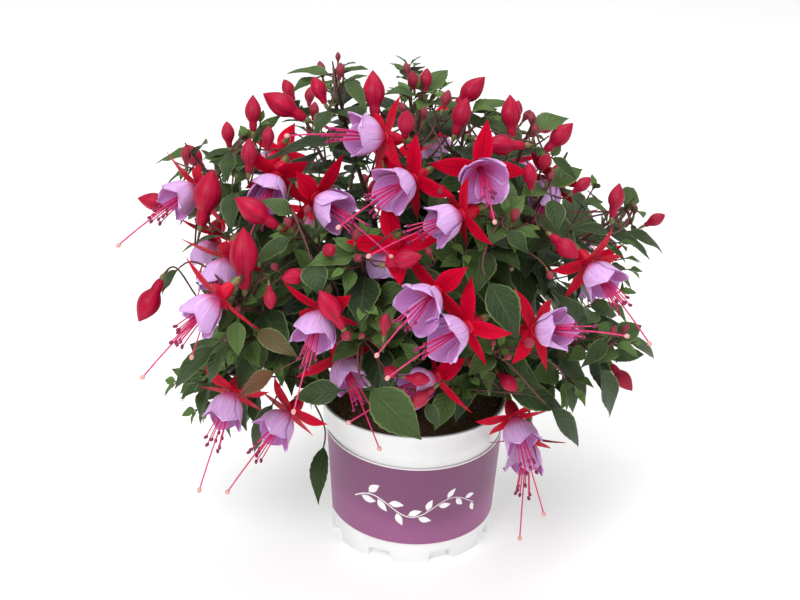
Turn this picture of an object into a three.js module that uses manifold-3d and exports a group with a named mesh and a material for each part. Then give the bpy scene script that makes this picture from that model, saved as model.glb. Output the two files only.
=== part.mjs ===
// A potted fuchsia in flower, in millimetres, +Z up.
//
// The origin is the middle of the pot's underside. The plant is five rooted cuttings that branch low
// down and arch into one round dome of foliage. Red buds and blooms hang in loose bunches on thin
// stalks from the shoots, and each open bloom has a lilac corolla with its stamens and long style.
import * as THREE from "three";
import { mergeVertices } from "three/addons/utils/BufferGeometryUtils.js";
import Module from "manifold-3d";

const wasm = await Module();
wasm.setup();

// ---------------------------------------------------------------- driving dimensions

const POT = {
  height: 105,
  rimRadius: 65,
  footRadius: 56.5,
  wall: 1.5,
  lipHeight: 1.8,
  lipReach: 1.2,
  collarHeight: 20,
  collarStep: 0.9,
  collarBevel: 0.8,
  floor: 2.4,
  cornerRise: 12,
  cornerReach: 7.5,
  sides: 32,
};
const NOTCH = { count: 8, width: 18, height: 8, firstAzimuth: 22.5, depth: 5 };
const DRAIN = { count: 5, circle: 33, radius: 4.5, sides: 6 };
const LABEL = { from: -72, to: 112, bottom: 15.8, top: 78.8, gap: 0.35, thickness: 0.7, steps: 20 };
// The soil's heap is rings from the edge inwards: a share of the radius and a height above "top".
const SOIL = {
  top: 95,
  gap: 0.45,
  heap: [[1, -1.3], [0.85, 0.26], [0.55, -0.65], [0, 0.52]],
  sides: 15,
  rootDepth: 12,
  holeSlack: 0.55,
  holeSides: 6,
};

// The dome that the foliage fills, and where the shoots fan out from.
const DOME = { centre: [-12, 0, 165], reach: [180, 172, 178] };
const FAN = new THREE.Vector3(-4, 6, 105);

const STEM = {
  footRadius: 2.7,
  tipRadius: 1.0,
  branchRadius: 1.7,
  sides: 4,
  step: 46,
  straight: 3,
  stiffness: 0.36,
  arch: 0.34,
  lift: 0.25,
};
const LEAF = {
  spacing: 23,
  firstAt: 5,
  leafyShare: 0.72,
  width: 0.54,
  thickness: 1.3,
  margin: 0.3,
  clearOfStem: 0.09,
  fold: 0.22,
  arch: 0.16,
  faceOut: 0.75,
  faceUp: 0.6,
  openFirst: 48,
  openNext: 7,
  lieFlat: 0.45,
  firstTurn: 40,
  turnSpread: 30,
  shortest: 0.88,
  longest: 1.12,
};
const LEAF_LENGTHS = [29, 44, 52];

const BLOOM = {
  ovary: 6.5,
  ovaryRadius: 2.1,
  tube: 11,
  tubeRadius: 4.2,
  tubeNeck: 3.1,
  sepal: 31,
  sepalWidth: 12.5,
  corolla: 23,
  corollaRadius: 12,
  sepalSeat: 1.4,
  sepalRoot: 0.02,
  sepalCurl: 0.12,
  sepalCup: 0.16,
  sepalThickness: 1.2,
};
// Shares of the corolla's length and radius, but for the lengths "seat", "neck" and "throat".
const COROLLA = {
  sides: 8,
  seat: 0.7,
  neck: 2.2,
  throat: 2.6,
  throatAt: 0.42,
  bellyAt: 0.36,
  bellyRadius: 0.8,
  bellyNotch: 0.9944,
  notchAt: 0.86,
  notchRadius: 0.93,
};
const THREAD = { rootAt: 7, sides: 3, sag: 0.0012 };
const STAMEN = { count: 2, length: 39, shorter: 3, ring: 1.3, lean: 0.13, rootRadius: 0.5, tipRadius: 1 };
const STYLE = { length: 62, lean: 0.02, rootRadius: 0.5, tipRadius: 1.1 };
const BUD = {
  width: 0.5,
  widestAt: 0.4,
  neck: 0.06,
  neckWidth: 0.22,
  ovary: 2.25,
  ovaryRadius: 1.5,
  tipRadius: 0.35,
};
const STALK = { radius: 0.75, steps: 2, leave: 0.25, arrive: 0.36, bends: [0, 0.25, -0.25, 0.5, -0.5] };
const KNOT = {
  radius: 2.1,
  gap: 0.2,
  shares: [0.5, 0.57, 0.64, 0.71, 0.78, 0.85, 0.92, 0.97],
  reaches: [2, 2.25, 2.5, 2.75, 3, 3.25, 3.5, 3.75, 4, 4.5],
};
const SLIDES = [0, 4, -4, 8, -8, 12, -12, 16, -16, 20, -20, 25, -25, 30, 36];
const FLOWER_SIDES = 4;
const UPRIGHT = 0.98;
const SEED = 20811;

const COLOURS = {
  pot: [0.9, 0.9, 0.88],
  label: [0.5, 0.3, 0.42],
  soil: [0.13, 0.09, 0.07],
  leaf: [0.26, 0.33, 0.19],
  sepal: [0.8, 0.08, 0.2],
  corolla: [0.72, 0.6, 0.83],
};

// ---------------------------------------------------------------- the reference view

// The camera of the reference view: pixels of an 800 by 600 frame become points on the dome.
const VIEW = {
  width: 800,
  height: 600,
  focal: 1916,
  distance: 1300,
  elevation: 25.4,
  roll: -1.5,
  aim: [-11.3, 0, 175],
};

const degrees = (d) => (d * Math.PI) / 180;
const vec = (x, y, z) => new THREE.Vector3(x, y, z);
const UP = vec(0, 0, 1);

const lens = (() => {
  const e = degrees(VIEW.elevation);
  const r = degrees(VIEW.roll);
  const back = vec(0, -Math.cos(e), Math.sin(e));
  const level = vec(1, 0, 0);
  const rise = vec(0, Math.sin(e), Math.cos(e));
  return {
    back,
    right: level.clone().multiplyScalar(Math.cos(r)).addScaledVector(rise, -Math.sin(r)),
    up: rise.clone().multiplyScalar(Math.cos(r)).addScaledVector(level, Math.sin(r)),
    eye: vec(...VIEW.aim).addScaledVector(back, VIEW.distance),
  };
})();

// A direction given as seen in the reference view: to the right, up, and towards the viewer.
function seen([right, up, near]) {
  return vec(0, 0, 0)
    .addScaledVector(lens.right, right)
    .addScaledVector(lens.up, up)
    .addScaledVector(lens.back, near)
    .normalize();
}

// The point of the dome, shrunk to a share of its size, that a pixel of the reference view shows.
function fromView(u, v, share) {
  const ray = vec(0, 0, 0)
    .addScaledVector(lens.right, (u - VIEW.width / 2) / VIEW.focal)
    .addScaledVector(lens.up, (VIEW.height / 2 - v) / VIEW.focal)
    .addScaledVector(lens.back, -1)
    .normalize();
  const reach = vec(...DOME.reach).multiplyScalar(share);
  const o = lens.eye.clone().sub(vec(...DOME.centre)).divide(reach);
  const d = ray.clone().divide(reach);
  const a = d.dot(d);
  const b = o.dot(d);
  const inside = b * b - a * (o.dot(o) - 1);
  const along = inside > 0 ? (-b - Math.sqrt(inside)) / a : -b / a;
  return { point: lens.eye.clone().addScaledVector(ray, along), slide: ray.negate() };
}

// The point of the dome at an azimuth (0 is the front, 90 the right side) and an elevation.
function fromDome(azimuth, elevation, share) {
  const a = degrees(azimuth);
  const e = degrees(elevation);
  const out = vec(Math.sin(a) * Math.cos(e), -Math.cos(a) * Math.cos(e), Math.sin(e));
  const point = out.clone().multiply(vec(...DOME.reach)).multiplyScalar(share).add(vec(...DOME.centre));
  return { point, slide: out };
}

// ---------------------------------------------------------------- where everything grows

// The cuttings: where each stands in the soil, and the tips of its shoots. The first shoot of a
// cutting is its leader; "from" is how far up the leader another shoot leaves it.
const CUTTINGS = [
  {
    foot: [-36, 20],
    shoots: [
      { name: "left_top", view: [190, 150, 0.97] },
      { name: "left_shoulder", view: [250, 142, 0.93], from: 0.3 },
      { name: "left_face", view: [239, 300, 0.93], from: 0.14 },
      { name: "left_low", view: [205, 372, 0.8], from: 0.1 },
      { name: "left_back", dome: [-118, 14, 0.93], from: 0.22 },
    ],
  },
  {
    foot: [38, 24],
    shoots: [
      { name: "right_top", view: [531, 126, 0.97] },
      { name: "right_shoulder", view: [549, 184, 0.94], from: 0.3 },
      { name: "right_far", view: [629, 204, 0.98], from: 0.2 },
      { name: "right_low", view: [616, 340, 0.95], from: 0.12 },
      { name: "right_back", dome: [112, 16, 0.93], from: 0.24 },
    ],
  },
  {
    foot: [2, -14],
    shoots: [
      { name: "front_left", view: [357, 250, 0.95] },
      { name: "front_middle", view: [361, 336, 0.82], from: 0.2 },
      { name: "front_right", view: [498, 350, 0.84], from: 0.16 },
      { name: "front_face", view: [503, 218, 0.96], from: 0.34 },
      { name: "front_brow", view: [292, 211, 0.94], from: 0.28 },
      { name: "rim_left", view: [388, 392, 0.64], from: 0.06, pairs: 1 },
      { name: "rim_right", view: [452, 388, 0.66], from: 0.1, pairs: 1 },
    ],
  },
  {
    foot: [-12, 36],
    shoots: [
      { name: "crown_left", view: [334, 70, 0.99] },
      { name: "crown_middle", view: [423, 90, 0.95], from: 0.34 },
      { name: "back_left", dome: [-148, 38, 0.94], from: 0.2 },
      { name: "back_low", dome: [-172, 8, 0.93], from: 0.12 },
    ],
  },
  {
    foot: [18, 40],
    shoots: [
      { name: "crown_right", view: [468, 108, 0.93] },
      { name: "back_right", dome: [146, 34, 0.95], from: 0.24 },
      { name: "back_middle", dome: [178, 62, 0.93], from: 0.32 },
      { name: "back_side", dome: [130, 4, 0.9], from: 0.12 },
    ],
  },
];

// The bunches: the shoot each hangs from, its open blooms and its larger buds. A bloom's place is
// where its sepals part; "faces" is the way its mouth points, as seen in the reference view; "spread"
// is the angle between the axis and the sepals, and "roll" turns them round it. A bud's place is
// its middle.
const BUNCHES = [
  {
    shoot: "left_top",
    blooms: [{ view: [197, 187, 0.97], faces: [-0.73, -0.52, 0.4], spread: 78, roll: 51 }],
    buds: [
      { view: [207, 197, 1.0], faces: [0.22, 0.95, 0.2], length: 36 },
      { view: [156, 202, 0.96], faces: [-0.97, 0.2, 0.1], length: 25 },
    ],
  },
  {
    shoot: "left_shoulder",
    blooms: [{ view: [277, 176, 0.86], faces: [-0.3, -0.7, 0.5], spread: 80, roll: 37 }],
    buds: [
      { view: [253, 113, 1.0], faces: [0.0, 1.0, 0.1], length: 23 },
      { view: [249, 155, 1.0], faces: [0.05, 0.95, 0.3], length: 22 },
    ],
  },
  {
    shoot: "crown_left",
    blooms: [{ view: [385, 138, 1.0], faces: [-0.93, 0.06, 0.36], spread: 84, roll: 79 }],
    buds: [
      { view: [284, 106, 0.96], faces: [-0.85, 0.5, 0.1], length: 31 },
    ],
  },
  {
    shoot: "crown_middle",
    blooms: [{ view: [413, 179, 0.98], faces: [-0.7, -0.42, 0.58], spread: 86, roll: 82 }],
    buds: [
      { view: [374, 94, 0.95], faces: [-0.05, 1.0, 0.0], length: 30 },
      { view: [406, 124, 1.02], faces: [0.05, 0.6, 0.75], length: 23 },
    ],
  },
  {
    shoot: "crown_right",
    blooms: [
      { view: [480, 169, 1.0], faces: [0.1, -0.48, 0.87], spread: 88, roll: 85 },
      { view: [462, 215, 0.97], faces: [-0.88, -0.33, 0.32], spread: 86, roll: 72 },
    ],
    buds: [
      { view: [470, 92, 0.96], faces: [0.7, 0.7, 0.1], length: 27 },
      { view: [461, 116, 0.99], faces: [0.3, 0.9, 0.2], length: 24 },
      { view: [503, 145, 0.97], faces: [-1.0, 0.0, 0.2], length: 27 },
    ],
  },
  {
    shoot: "right_top",
    blooms: [],
    buds: [
      { view: [511, 116, 0.97], faces: [-0.05, 1.0, 0.1], length: 27 },
      { view: [559, 137, 0.98], faces: [0.7, 0.7, 0.1], length: 25 },
    ],
  },
  {
    shoot: "right_shoulder",
    blooms: [{ view: [553, 180, 0.85], faces: [-0.3, -0.55, 0.2], spread: 84, roll: 10 }],
    buds: [],
  },
  {
    shoot: "right_far",
    blooms: [{ view: [589, 264, 0.98], faces: [0.53, -0.7, 0.47], spread: 82, roll: 81 }],
    buds: [
      { view: [616, 200, 1.0], faces: [0.2, 1.0, 0.1], length: 22 },
      { view: [565, 247, 1.02], faces: [0.6, -0.55, 0.5], length: 24 },
    ],
  },
  {
    shoot: "front_brow",
    blooms: [{ view: [316, 197, 0.93], faces: [0.72, -0.52, 0.45], spread: 86, roll: 45 }],
    buds: [
      { view: [256, 212, 1.0], faces: [-0.8, 0.55, 0.2], length: 31 },
      { view: [244, 258, 1.0], faces: [0.0, 0.95, 0.25], length: 38 },
    ],
  },
  {
    shoot: "front_left",
    blooms: [{ view: [393, 245, 0.92], faces: [-0.2, -0.45, -0.85], spread: 92, roll: 5 }],
    buds: [
      { view: [404, 260, 1.0], faces: [0.85, 0.2, 0.4], length: 24 },
    ],
  },
  {
    shoot: "left_face",
    blooms: [
      { view: [227, 258, 0.97], faces: [-0.32, -0.9, 0.3], spread: 84, roll: 66 },
      { view: [219, 297, 0.98], faces: [-0.7, -0.68, 0.2], spread: 84, roll: 51 },
    ],
    buds: [
      { view: [150, 301, 1.0], faces: [-0.45, -0.85, 0.1], length: 30 },
    ],
  },
  {
    shoot: "front_middle",
    blooms: [
      { view: [322, 310, 0.9], faces: [-0.26, -0.88, 0.4], spread: 86, roll: 44 },
      { view: [340, 356, 0.68], faces: [0.35, -0.75, 0.4], spread: 76, roll: 20 },
    ],
    buds: [
      { view: [331, 309, 1.0], faces: [-0.45, 0.75, 0.4], length: 28 },
    ],
  },
  {
    shoot: "front_right",
    blooms: [
      { view: [436, 291, 0.93], faces: [-0.56, -0.52, 0.64], spread: 86, roll: 48 },
      { view: [467, 327, 0.95], faces: [-0.76, -0.38, 0.52], spread: 98, roll: 8 },
      { view: [535, 330, 0.92], faces: [0.82, 0.02, 0.56], spread: 84, roll: 18 },
    ],
    buds: [],
  },
  {
    shoot: "rim_right",
    blooms: [{ view: [436, 377, 0.7], faces: [-0.85, -0.35, 0.35], spread: 100, roll: 40 }],
    buds: [{ view: [421, 398, 0.8], faces: [-0.75, -0.6, 0.3], length: 20 }],
  },
  {
    shoot: "right_low",
    blooms: [
      { view: [514, 417, 0.66], faces: [0.28, -0.9, 0.32], spread: 82, roll: 79 },
      { view: [527, 438, 0.54], faces: [-0.1, -0.97, 0.2], spread: 76, roll: 30 },
    ],
    buds: [{ view: [622, 378, 0.93], faces: [0.6, -0.75, 0.1], length: 21 }],
  },
  {
    shoot: "left_low",
    blooms: [
      { view: [233, 392, 0.82], faces: [-0.32, -0.88, 0.34], spread: 84, roll: 18 },
      { view: [290, 412, 0.68], faces: [-0.62, -0.7, 0.35], spread: 88, roll: 4 },
    ],
    buds: [],
  },
  {
    shoot: "left_back",
    blooms: [
      { dome: [-124, 6, 0.9], faces: [-0.3, -0.9, -0.35], spread: 90, roll: 15 },
    ],
    buds: [{ dome: [-112, 30, 0.99], faces: [-0.5, 0.7, -0.3], length: 24 }],
  },
  {
    shoot: "back_left",
    blooms: [
      { dome: [-146, 23, 0.96], faces: [-0.4, -0.6, -0.7], spread: 88, roll: 55 },
      { dome: [-157, 4, 0.94], faces: [-0.2, -0.85, -0.5], spread: 88, roll: 75 },
    ],
    buds: [],
  },
  {
    shoot: "back_low",
    blooms: [{ dome: [-178, 18, 0.95], faces: [0.1, -0.7, -0.7], spread: 84, roll: 25 }],
    buds: [],
  },
  {
    shoot: "back_right",
    blooms: [
      { dome: [151, 22, 0.96], faces: [0.4, -0.6, -0.7], spread: 88, roll: 65 },
      { dome: [134, 8, 0.95], faces: [0.6, -0.75, -0.4], spread: 86, roll: 35 },
    ],
    buds: [{ dome: [138, 34, 1.0], faces: [0.6, 0.4, -0.6], length: 25 }],
  },
  {
    shoot: "back_middle",
    blooms: [{ dome: [172, 28, 0.96], faces: [0.1, -0.65, -0.7], spread: 88, roll: 5 }],
    buds: [],
  },
  {
    shoot: "right_back",
    blooms: [{ dome: [121, 3, 0.9], faces: [0.25, -0.9, -0.35], spread: 84, roll: 60 }],
    buds: [],
  },
];

// ---------------------------------------------------------------- solids and meshes

// A closed solid from points and triangles that face outwards.
function solid(points, faces) {
  const vertProperties = new Float32Array(points.flatMap((p) => [p.x, p.y, p.z]));
  const triVerts = new Uint32Array(faces.flat());
  return new wasm.Manifold(new wasm.Mesh({ numProp: 3, vertProperties, triVerts }));
}

// A closed solid from a closed geometry, moved to its place.
function solidOf(geometry, place = new THREE.Matrix4()) {
  const bare = geometry.clone().applyMatrix4(place);
  bare.deleteAttribute("normal");
  bare.deleteAttribute("uv");
  const merged = mergeVertices(bare, 1e-4);
  return new wasm.Manifold(
    new wasm.Mesh({
      numProp: 3,
      vertProperties: new Float32Array(merged.attributes.position.array),
      triVerts: new Uint32Array(merged.index.array),
    }),
  );
}

function joined(solids) {
  return solids.reduce((whole, next) => whole.add(next));
}

const object = new THREE.Group();

// Adds a solid to the object as a named mesh with a plain finish.
function addNode(name, body, [red, green, blue], roughness) {
  const { vertProperties, triVerts } = body.getMesh();
  const geometry = new THREE.BufferGeometry();
  geometry.setAttribute("position", new THREE.BufferAttribute(vertProperties, 3));
  geometry.setIndex(new THREE.BufferAttribute(triVerts, 1));
  geometry.computeVertexNormals();
  const color = new THREE.Color().setRGB(red, green, blue, THREE.SRGBColorSpace);
  const mesh = new THREE.Mesh(geometry, new THREE.MeshStandardMaterial({ color, roughness, metalness: 0 }));
  mesh.name = name;
  object.add(mesh);
}

// Evenly spread numbers from 0 to 1 that are the same on every run.
function seeded(seed) {
  let state = seed >>> 0;
  return () => {
    state = (Math.imul(state, 1664525) + 1013904223) >>> 0;
    return state / 4294967296;
  };
}

// ---------------------------------------------------------------- tubes and blades

// Two directions across each point of a path, carried along it without twist.
function framesAlong(path, firstAcross) {
  let across = firstAcross;
  return path.map((point, i) => {
    const before = path[Math.max(i - 1, 0)];
    const after = path[Math.min(i + 1, path.length - 1)];
    const along = after.clone().sub(before).normalize();
    across = across.clone().addScaledVector(along, -across.dot(along)).normalize();
    return { point, across, other: along.clone().cross(across) };
  });
}

// A tube with flat or pointed ends, with its own radius at each point of its path.
function tube(path, radii, sides, firstAcross) {
  const points = [];
  const rings = framesAlong(path, firstAcross).map(({ point, across, other }, i) => {
    const corners = radii[i] === 0 ? 1 : sides;
    return Array.from({ length: corners }, (_, k) => {
      const turn = (2 * Math.PI * k) / sides;
      const out = across.clone().multiplyScalar(Math.cos(turn)).addScaledVector(other, Math.sin(turn));
      points.push(point.clone().addScaledVector(out, radii[i]));
      return points.length - 1;
    });
  });
  const faces = [];
  for (let i = 1; i < rings.length; i += 1) {
    for (let k = 0; k < sides; k += 1) {
      const a = rings[i - 1];
      const b = rings[i];
      const next = (k + 1) % sides;
      if (b.length === 1) faces.push([a[k], a[next], b[0]]);
      else faces.push([a[k], a[next], b[next]], [a[k], b[next], b[k]]);
    }
  }
  const first = rings[0];
  const last = rings[rings.length - 1];
  for (let k = 2; k < first.length; k += 1) faces.push([first[0], first[k], first[k - 1]]);
  for (let k = 2; k < last.length; k += 1) faces.push([last[0], last[k - 1], last[k]]);
  return solid(points, faces);
}

// A thin closed blade. Its edge runs root, one side, tip, other side. Its rib stands half the
// thickness above and below the sheet. "sides" holds [along, out] from root to tip, "rib" the places
// of the rib's points, and "strips" the triangles of one half, with the edge points first.
function blade({ sides, rib, strips }, root, surface, thickness) {
  const points = [surface(root, 0)];
  sides.forEach(([along, out]) => points.push(surface(along, out)));
  points.push(surface(1, 0));
  sides.forEach(([along, out]) => points.push(surface(along, -out)));
  const edge = sides.length;
  const tip = edge + 1;
  const top = points.length;
  rib.forEach((along) => points.push(surface(along, 0, thickness / 2)));
  const under = points.length;
  rib.forEach((along) => points.push(surface(along, 0, -thickness / 2)));
  const corner = (code, far, face) => {
    if (code === "root") return 0;
    if (code === "tip") return tip;
    if (code[0] === "e") return (far ? tip : 0) + Number(code.slice(1));
    return face + Number(code.slice(1)) - 1;
  };
  const faces = [];
  for (const far of [false, true]) {
    for (const face of [top, under]) {
      for (const [a, b, c] of strips) {
        const ids = [corner(a, far, face), corner(b, far, face), corner(c, far, face)];
        faces.push(far === (face === top) ? ids : ids.reverse());
      }
    }
  }
  return solid(points, faces);
}

// ---------------------------------------------------------------- leaves

const LARGE_LEAF = {
  sides: [[0.12, 0.1], [0.3, 0.92], [0.57, 0.97], [0.62, 0.77]],
  rib: [0.12, 0.48],
  strips: [
    ["root", "e1", "r1"],
    ["e1", "e2", "r1"],
    ["e2", "r2", "r1"],
    ["e2", "e3", "r2"],
    ["e3", "e4", "r2"],
    ["e4", "tip", "r2"],
  ],
};
const SMALL_LEAF = {
  sides: [[0.14, 0.16], [0.45, 1], [0.52, 0.86]],
  rib: [0.4],
  strips: [
    ["root", "e1", "r1"],
    ["e1", "e2", "r1"],
    ["e2", "e3", "r1"],
    ["e3", "tip", "r1"],
  ],
};

// The sheet of a leaf: folded up along its midrib, arched down towards its tip.
function leafSurface({ root, along, across, face, length, width }) {
  return (t, out, lift = 0) => {
    const side = (out * width) / 2;
    const height = LEAF.fold * Math.abs(side) - LEAF.arch * length * t * t + lift;
    return root
      .clone()
      .addScaledVector(along, length * t)
      .addScaledVector(across, side)
      .addScaledVector(face, height);
  };
}

function leafOutline({ order }) {
  return order === 0 ? SMALL_LEAF : LARGE_LEAF;
}

// A leaf, rooted in the middle of its stem.
function leafSolid(leaf) {
  return blade(leafOutline(leaf), 0, leafSurface(leaf), LEAF.thickness);
}

// The room that a leaf needs: a little more than itself, from just outside its stem.
function leafRoom(leaf) {
  const grown = { ...leaf, width: leaf.width + 2 * LEAF.margin, length: leaf.length + LEAF.margin };
  return blade(leafOutline(leaf), LEAF.clearOfStem, leafSurface(grown), LEAF.thickness + 2 * LEAF.margin);
}

// The ways a leaf can turn to find room: a turn round its stem, a tilt away from the dome and a size.
const LEAF_WAYS = [
  [0, 0, 1],
  [16, 0, 1],
  [-16, 0, 1],
  [0, 14, 1],
  [0, -14, 1],
  [28, 8, 0.94],
  [-28, 8, 0.94],
  [34, -10, 0.9],
  [-34, -10, 0.9],
  [10, 24, 0.86],
  [-10, -24, 0.86],
  [0, 6, 0.7],
];

// A leaf of a shoot: its order from the tip, which side of the stem, and the way it turns.
function leafOn(shoot, order, side, jitter, [turn, tilt, size]) {
  const length = LEAF_LENGTHS[order] * THREE.MathUtils.lerp(LEAF.shortest, LEAF.longest, jitter) * size;
  const at = shoot.fromTip(LEAF.firstAt + LEAF.spacing * order);
  const outward = at.point.clone().sub(vec(...DOME.centre)).normalize();
  const light = outward.clone().multiplyScalar(LEAF.faceOut).addScaledVector(UP, LEAF.faceUp).normalize();
  const first = light.clone().cross(at.along).normalize();
  const second = at.along.clone().cross(first);
  const scatter = LEAF.turnSpread * (jitter - 0.5);
  const round = degrees(90 * (order % 2) + 180 * side + LEAF.firstTurn + scatter + turn);
  const away = first.multiplyScalar(Math.cos(round)).addScaledVector(second, Math.sin(round));
  const open = degrees(LEAF.openFirst + LEAF.openNext * order);
  const along = at.along.clone().multiplyScalar(Math.cos(open)).addScaledVector(away, Math.sin(open));
  along.addScaledVector(light, -LEAF.lieFlat * along.dot(light) + Math.sin(degrees(tilt))).normalize();
  const across = light.cross(along).normalize();
  const face = along.clone().cross(across);
  return { order, root: at.point, along, across, face, length, width: length * LEAF.width };
}

// ---------------------------------------------------------------- shoots

// The curve of a shoot, with its length measured back from the tip.
function growShoot(start, firstWay, tip, radius) {
  const span = tip.distanceTo(start);
  const lastWay = tip.clone().sub(FAN).normalize().addScaledVector(UP, STEM.lift).normalize();
  const curve = new THREE.CubicBezierCurve3(
    start,
    start.clone().addScaledVector(firstWay, span * STEM.stiffness),
    tip.clone().addScaledVector(lastWay, -span * STEM.arch),
    tip,
  );
  const length = curve.getLength();
  const steps = Math.max(3, Math.round(length / STEM.step));
  const path = curve.getSpacedPoints(steps);
  const at = (share) => {
    const before = Math.min(Math.floor(share * steps), steps - 1);
    const point = path[before].clone().lerp(path[before + 1], share * steps - before);
    return { point, along: curve.getTangentAt(share) };
  };
  const fromTip = (distance) => at(Math.max(0, 1 - distance / length));
  return { path, length, at, fromTip, radius };
}

// The tapered stem of a shoot. A leader also goes straight down into the soil.
function stemSolid({ path, radius, buried }) {
  const radii = path.map((_, i) => THREE.MathUtils.lerp(radius, STEM.tipRadius, i / (path.length - 1)));
  if (!buried) return tube(path, radii, STEM.sides, vec(1, 0, 0));
  const root = path[0].clone().setZ(SOIL.top - SOIL.rootDepth);
  return tube([root, ...path], [radius, ...radii], STEM.sides, vec(1, 0, 0));
}

// All shoots of all cuttings, by name.
function growCuttings() {
  const shoots = new Map();
  CUTTINGS.forEach(({ foot, shoots: rows }, cutting) => {
    const base = vec(...foot, SOIL.top + STEM.straight);
    const leader = { row: rows[0] };
    for (const row of rows) {
      const tip = placeOf(row).point;
      if (row === leader.row) {
        leader.shoot = growShoot(base, UP.clone(), tip, STEM.footRadius);
        shoots.set(row.name, { ...leader.shoot, cutting, buried: true });
      } else {
        const { point, along } = leader.shoot.at(row.from);
        const grown = growShoot(point, along, tip, STEM.branchRadius);
        shoots.set(row.name, { ...grown, cutting, pairs: row.pairs });
      }
    }
  });
  return shoots;
}

function placeOf(row) {
  return row.view ? fromView(...row.view) : fromDome(...row.dome);
}

// ---------------------------------------------------------------- blooms and buds

const SEPAL = {
  sides: [[0.4, 1], [0.76, 0.62]],
  rib: [0.3],
  strips: [
    ["root", "e1", "r1"],
    ["e1", "e2", "r1"],
    ["e2", "tip", "r1"],
  ],
};

// The directions of a flower: its axis, and two across it.
function flowerFrame(axis) {
  const level = Math.abs(axis.z) < UPRIGHT ? UP : vec(0, 1, 0);
  const across = level.clone().cross(axis).normalize();
  return { axis, across, other: axis.clone().cross(across) };
}

function sepalSolid({ hub, frame, spread }, k, roll) {
  const turn = roll + (Math.PI / 2) * k;
  const out = acrossAt(frame, turn);
  const lean = degrees(spread);
  const along = out.clone().multiplyScalar(Math.sin(lean)).addScaledVector(frame.axis, Math.cos(lean));
  const across = frame.axis.clone().cross(out);
  const face = along.clone().cross(across).negate();
  const root = hub.clone().addScaledVector(frame.axis, -BLOOM.sepalSeat);
  const surface = (t, side, lift = 0) =>
    root
      .clone()
      .addScaledVector(along, BLOOM.sepal * t)
      .addScaledVector(across, (side * BLOOM.sepalWidth) / 2)
      .addScaledVector(face, BLOOM.sepal * BLOOM.sepalCurl * t * t - BLOOM.sepalCup * Math.abs(side) - lift);
  return blade(SEPAL, BLOOM.sepalRoot, surface, BLOOM.sepalThickness);
}

// The thin stalk from a bunch's knot to the back of a flower, and on along the flower's axis.
function stalkPath(knot, bend, back, axis) {
  const span = back.distanceTo(knot.point);
  const leave = knot.way.clone().multiplyScalar(STALK.leave).addScaledVector(knot.side, bend);
  const curve = new THREE.CubicBezierCurve3(
    knot.point,
    knot.point.clone().addScaledVector(leave, span),
    back.clone().addScaledVector(axis, -span * STALK.arrive),
    back,
  );
  return curve.getPoints(STALK.steps);
}

// A flower's body as one tube, from its front end back through the ovary and along the stalk to the
// knot. Each ring is a distance behind the front end and a radius.
function flowerTube({ front, frame, roll }, rings, knot, bend) {
  const spots = rings.map(([behind]) => front.clone().addScaledVector(frame.axis, -behind));
  const stalk = stalkPath(knot, bend, spots[spots.length - 1], frame.axis).reverse().slice(1);
  const radii = [...rings.map(([, radius]) => radius), ...stalk.map(() => STALK.radius)];
  return tube([...spots, ...stalk], radii, FLOWER_SIDES, acrossAt(frame, roll + Math.PI / FLOWER_SIDES));
}

function acrossAt({ across, other }, turn) {
  return across.clone().multiplyScalar(Math.cos(turn)).addScaledVector(other, Math.sin(turn));
}

function bloomRed(bloom, knot, bend) {
  const { ovary, ovaryRadius, tube: throat, tubeRadius, tubeNeck } = BLOOM;
  const rings = [
    [0, tubeRadius],
    [throat, tubeNeck],
    [throat + ovary / 2, ovaryRadius],
    [throat + ovary, STALK.radius],
  ];
  const sepals = [0, 1, 2, 3].map((k) => sepalSolid(bloom, k, bloom.roll));
  return joined([flowerTube({ ...bloom, front: bloom.hub }, rings, knot, bend), ...sepals]);
}

function budSolid(bud, knot, bend) {
  const { length } = bud;
  const rings = [
    [0, BUD.tipRadius],
    [length * BUD.widestAt, (length * BUD.width) / 2],
    [length * (1 - BUD.neck), (length * BUD.neckWidth) / 2],
    [length + BUD.ovary, BUD.ovaryRadius],
  ];
  const front = bud.middle.clone().addScaledVector(bud.frame.axis, length / 2);
  return flowerTube({ ...bud, front }, rings, knot, bend);
}

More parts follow.
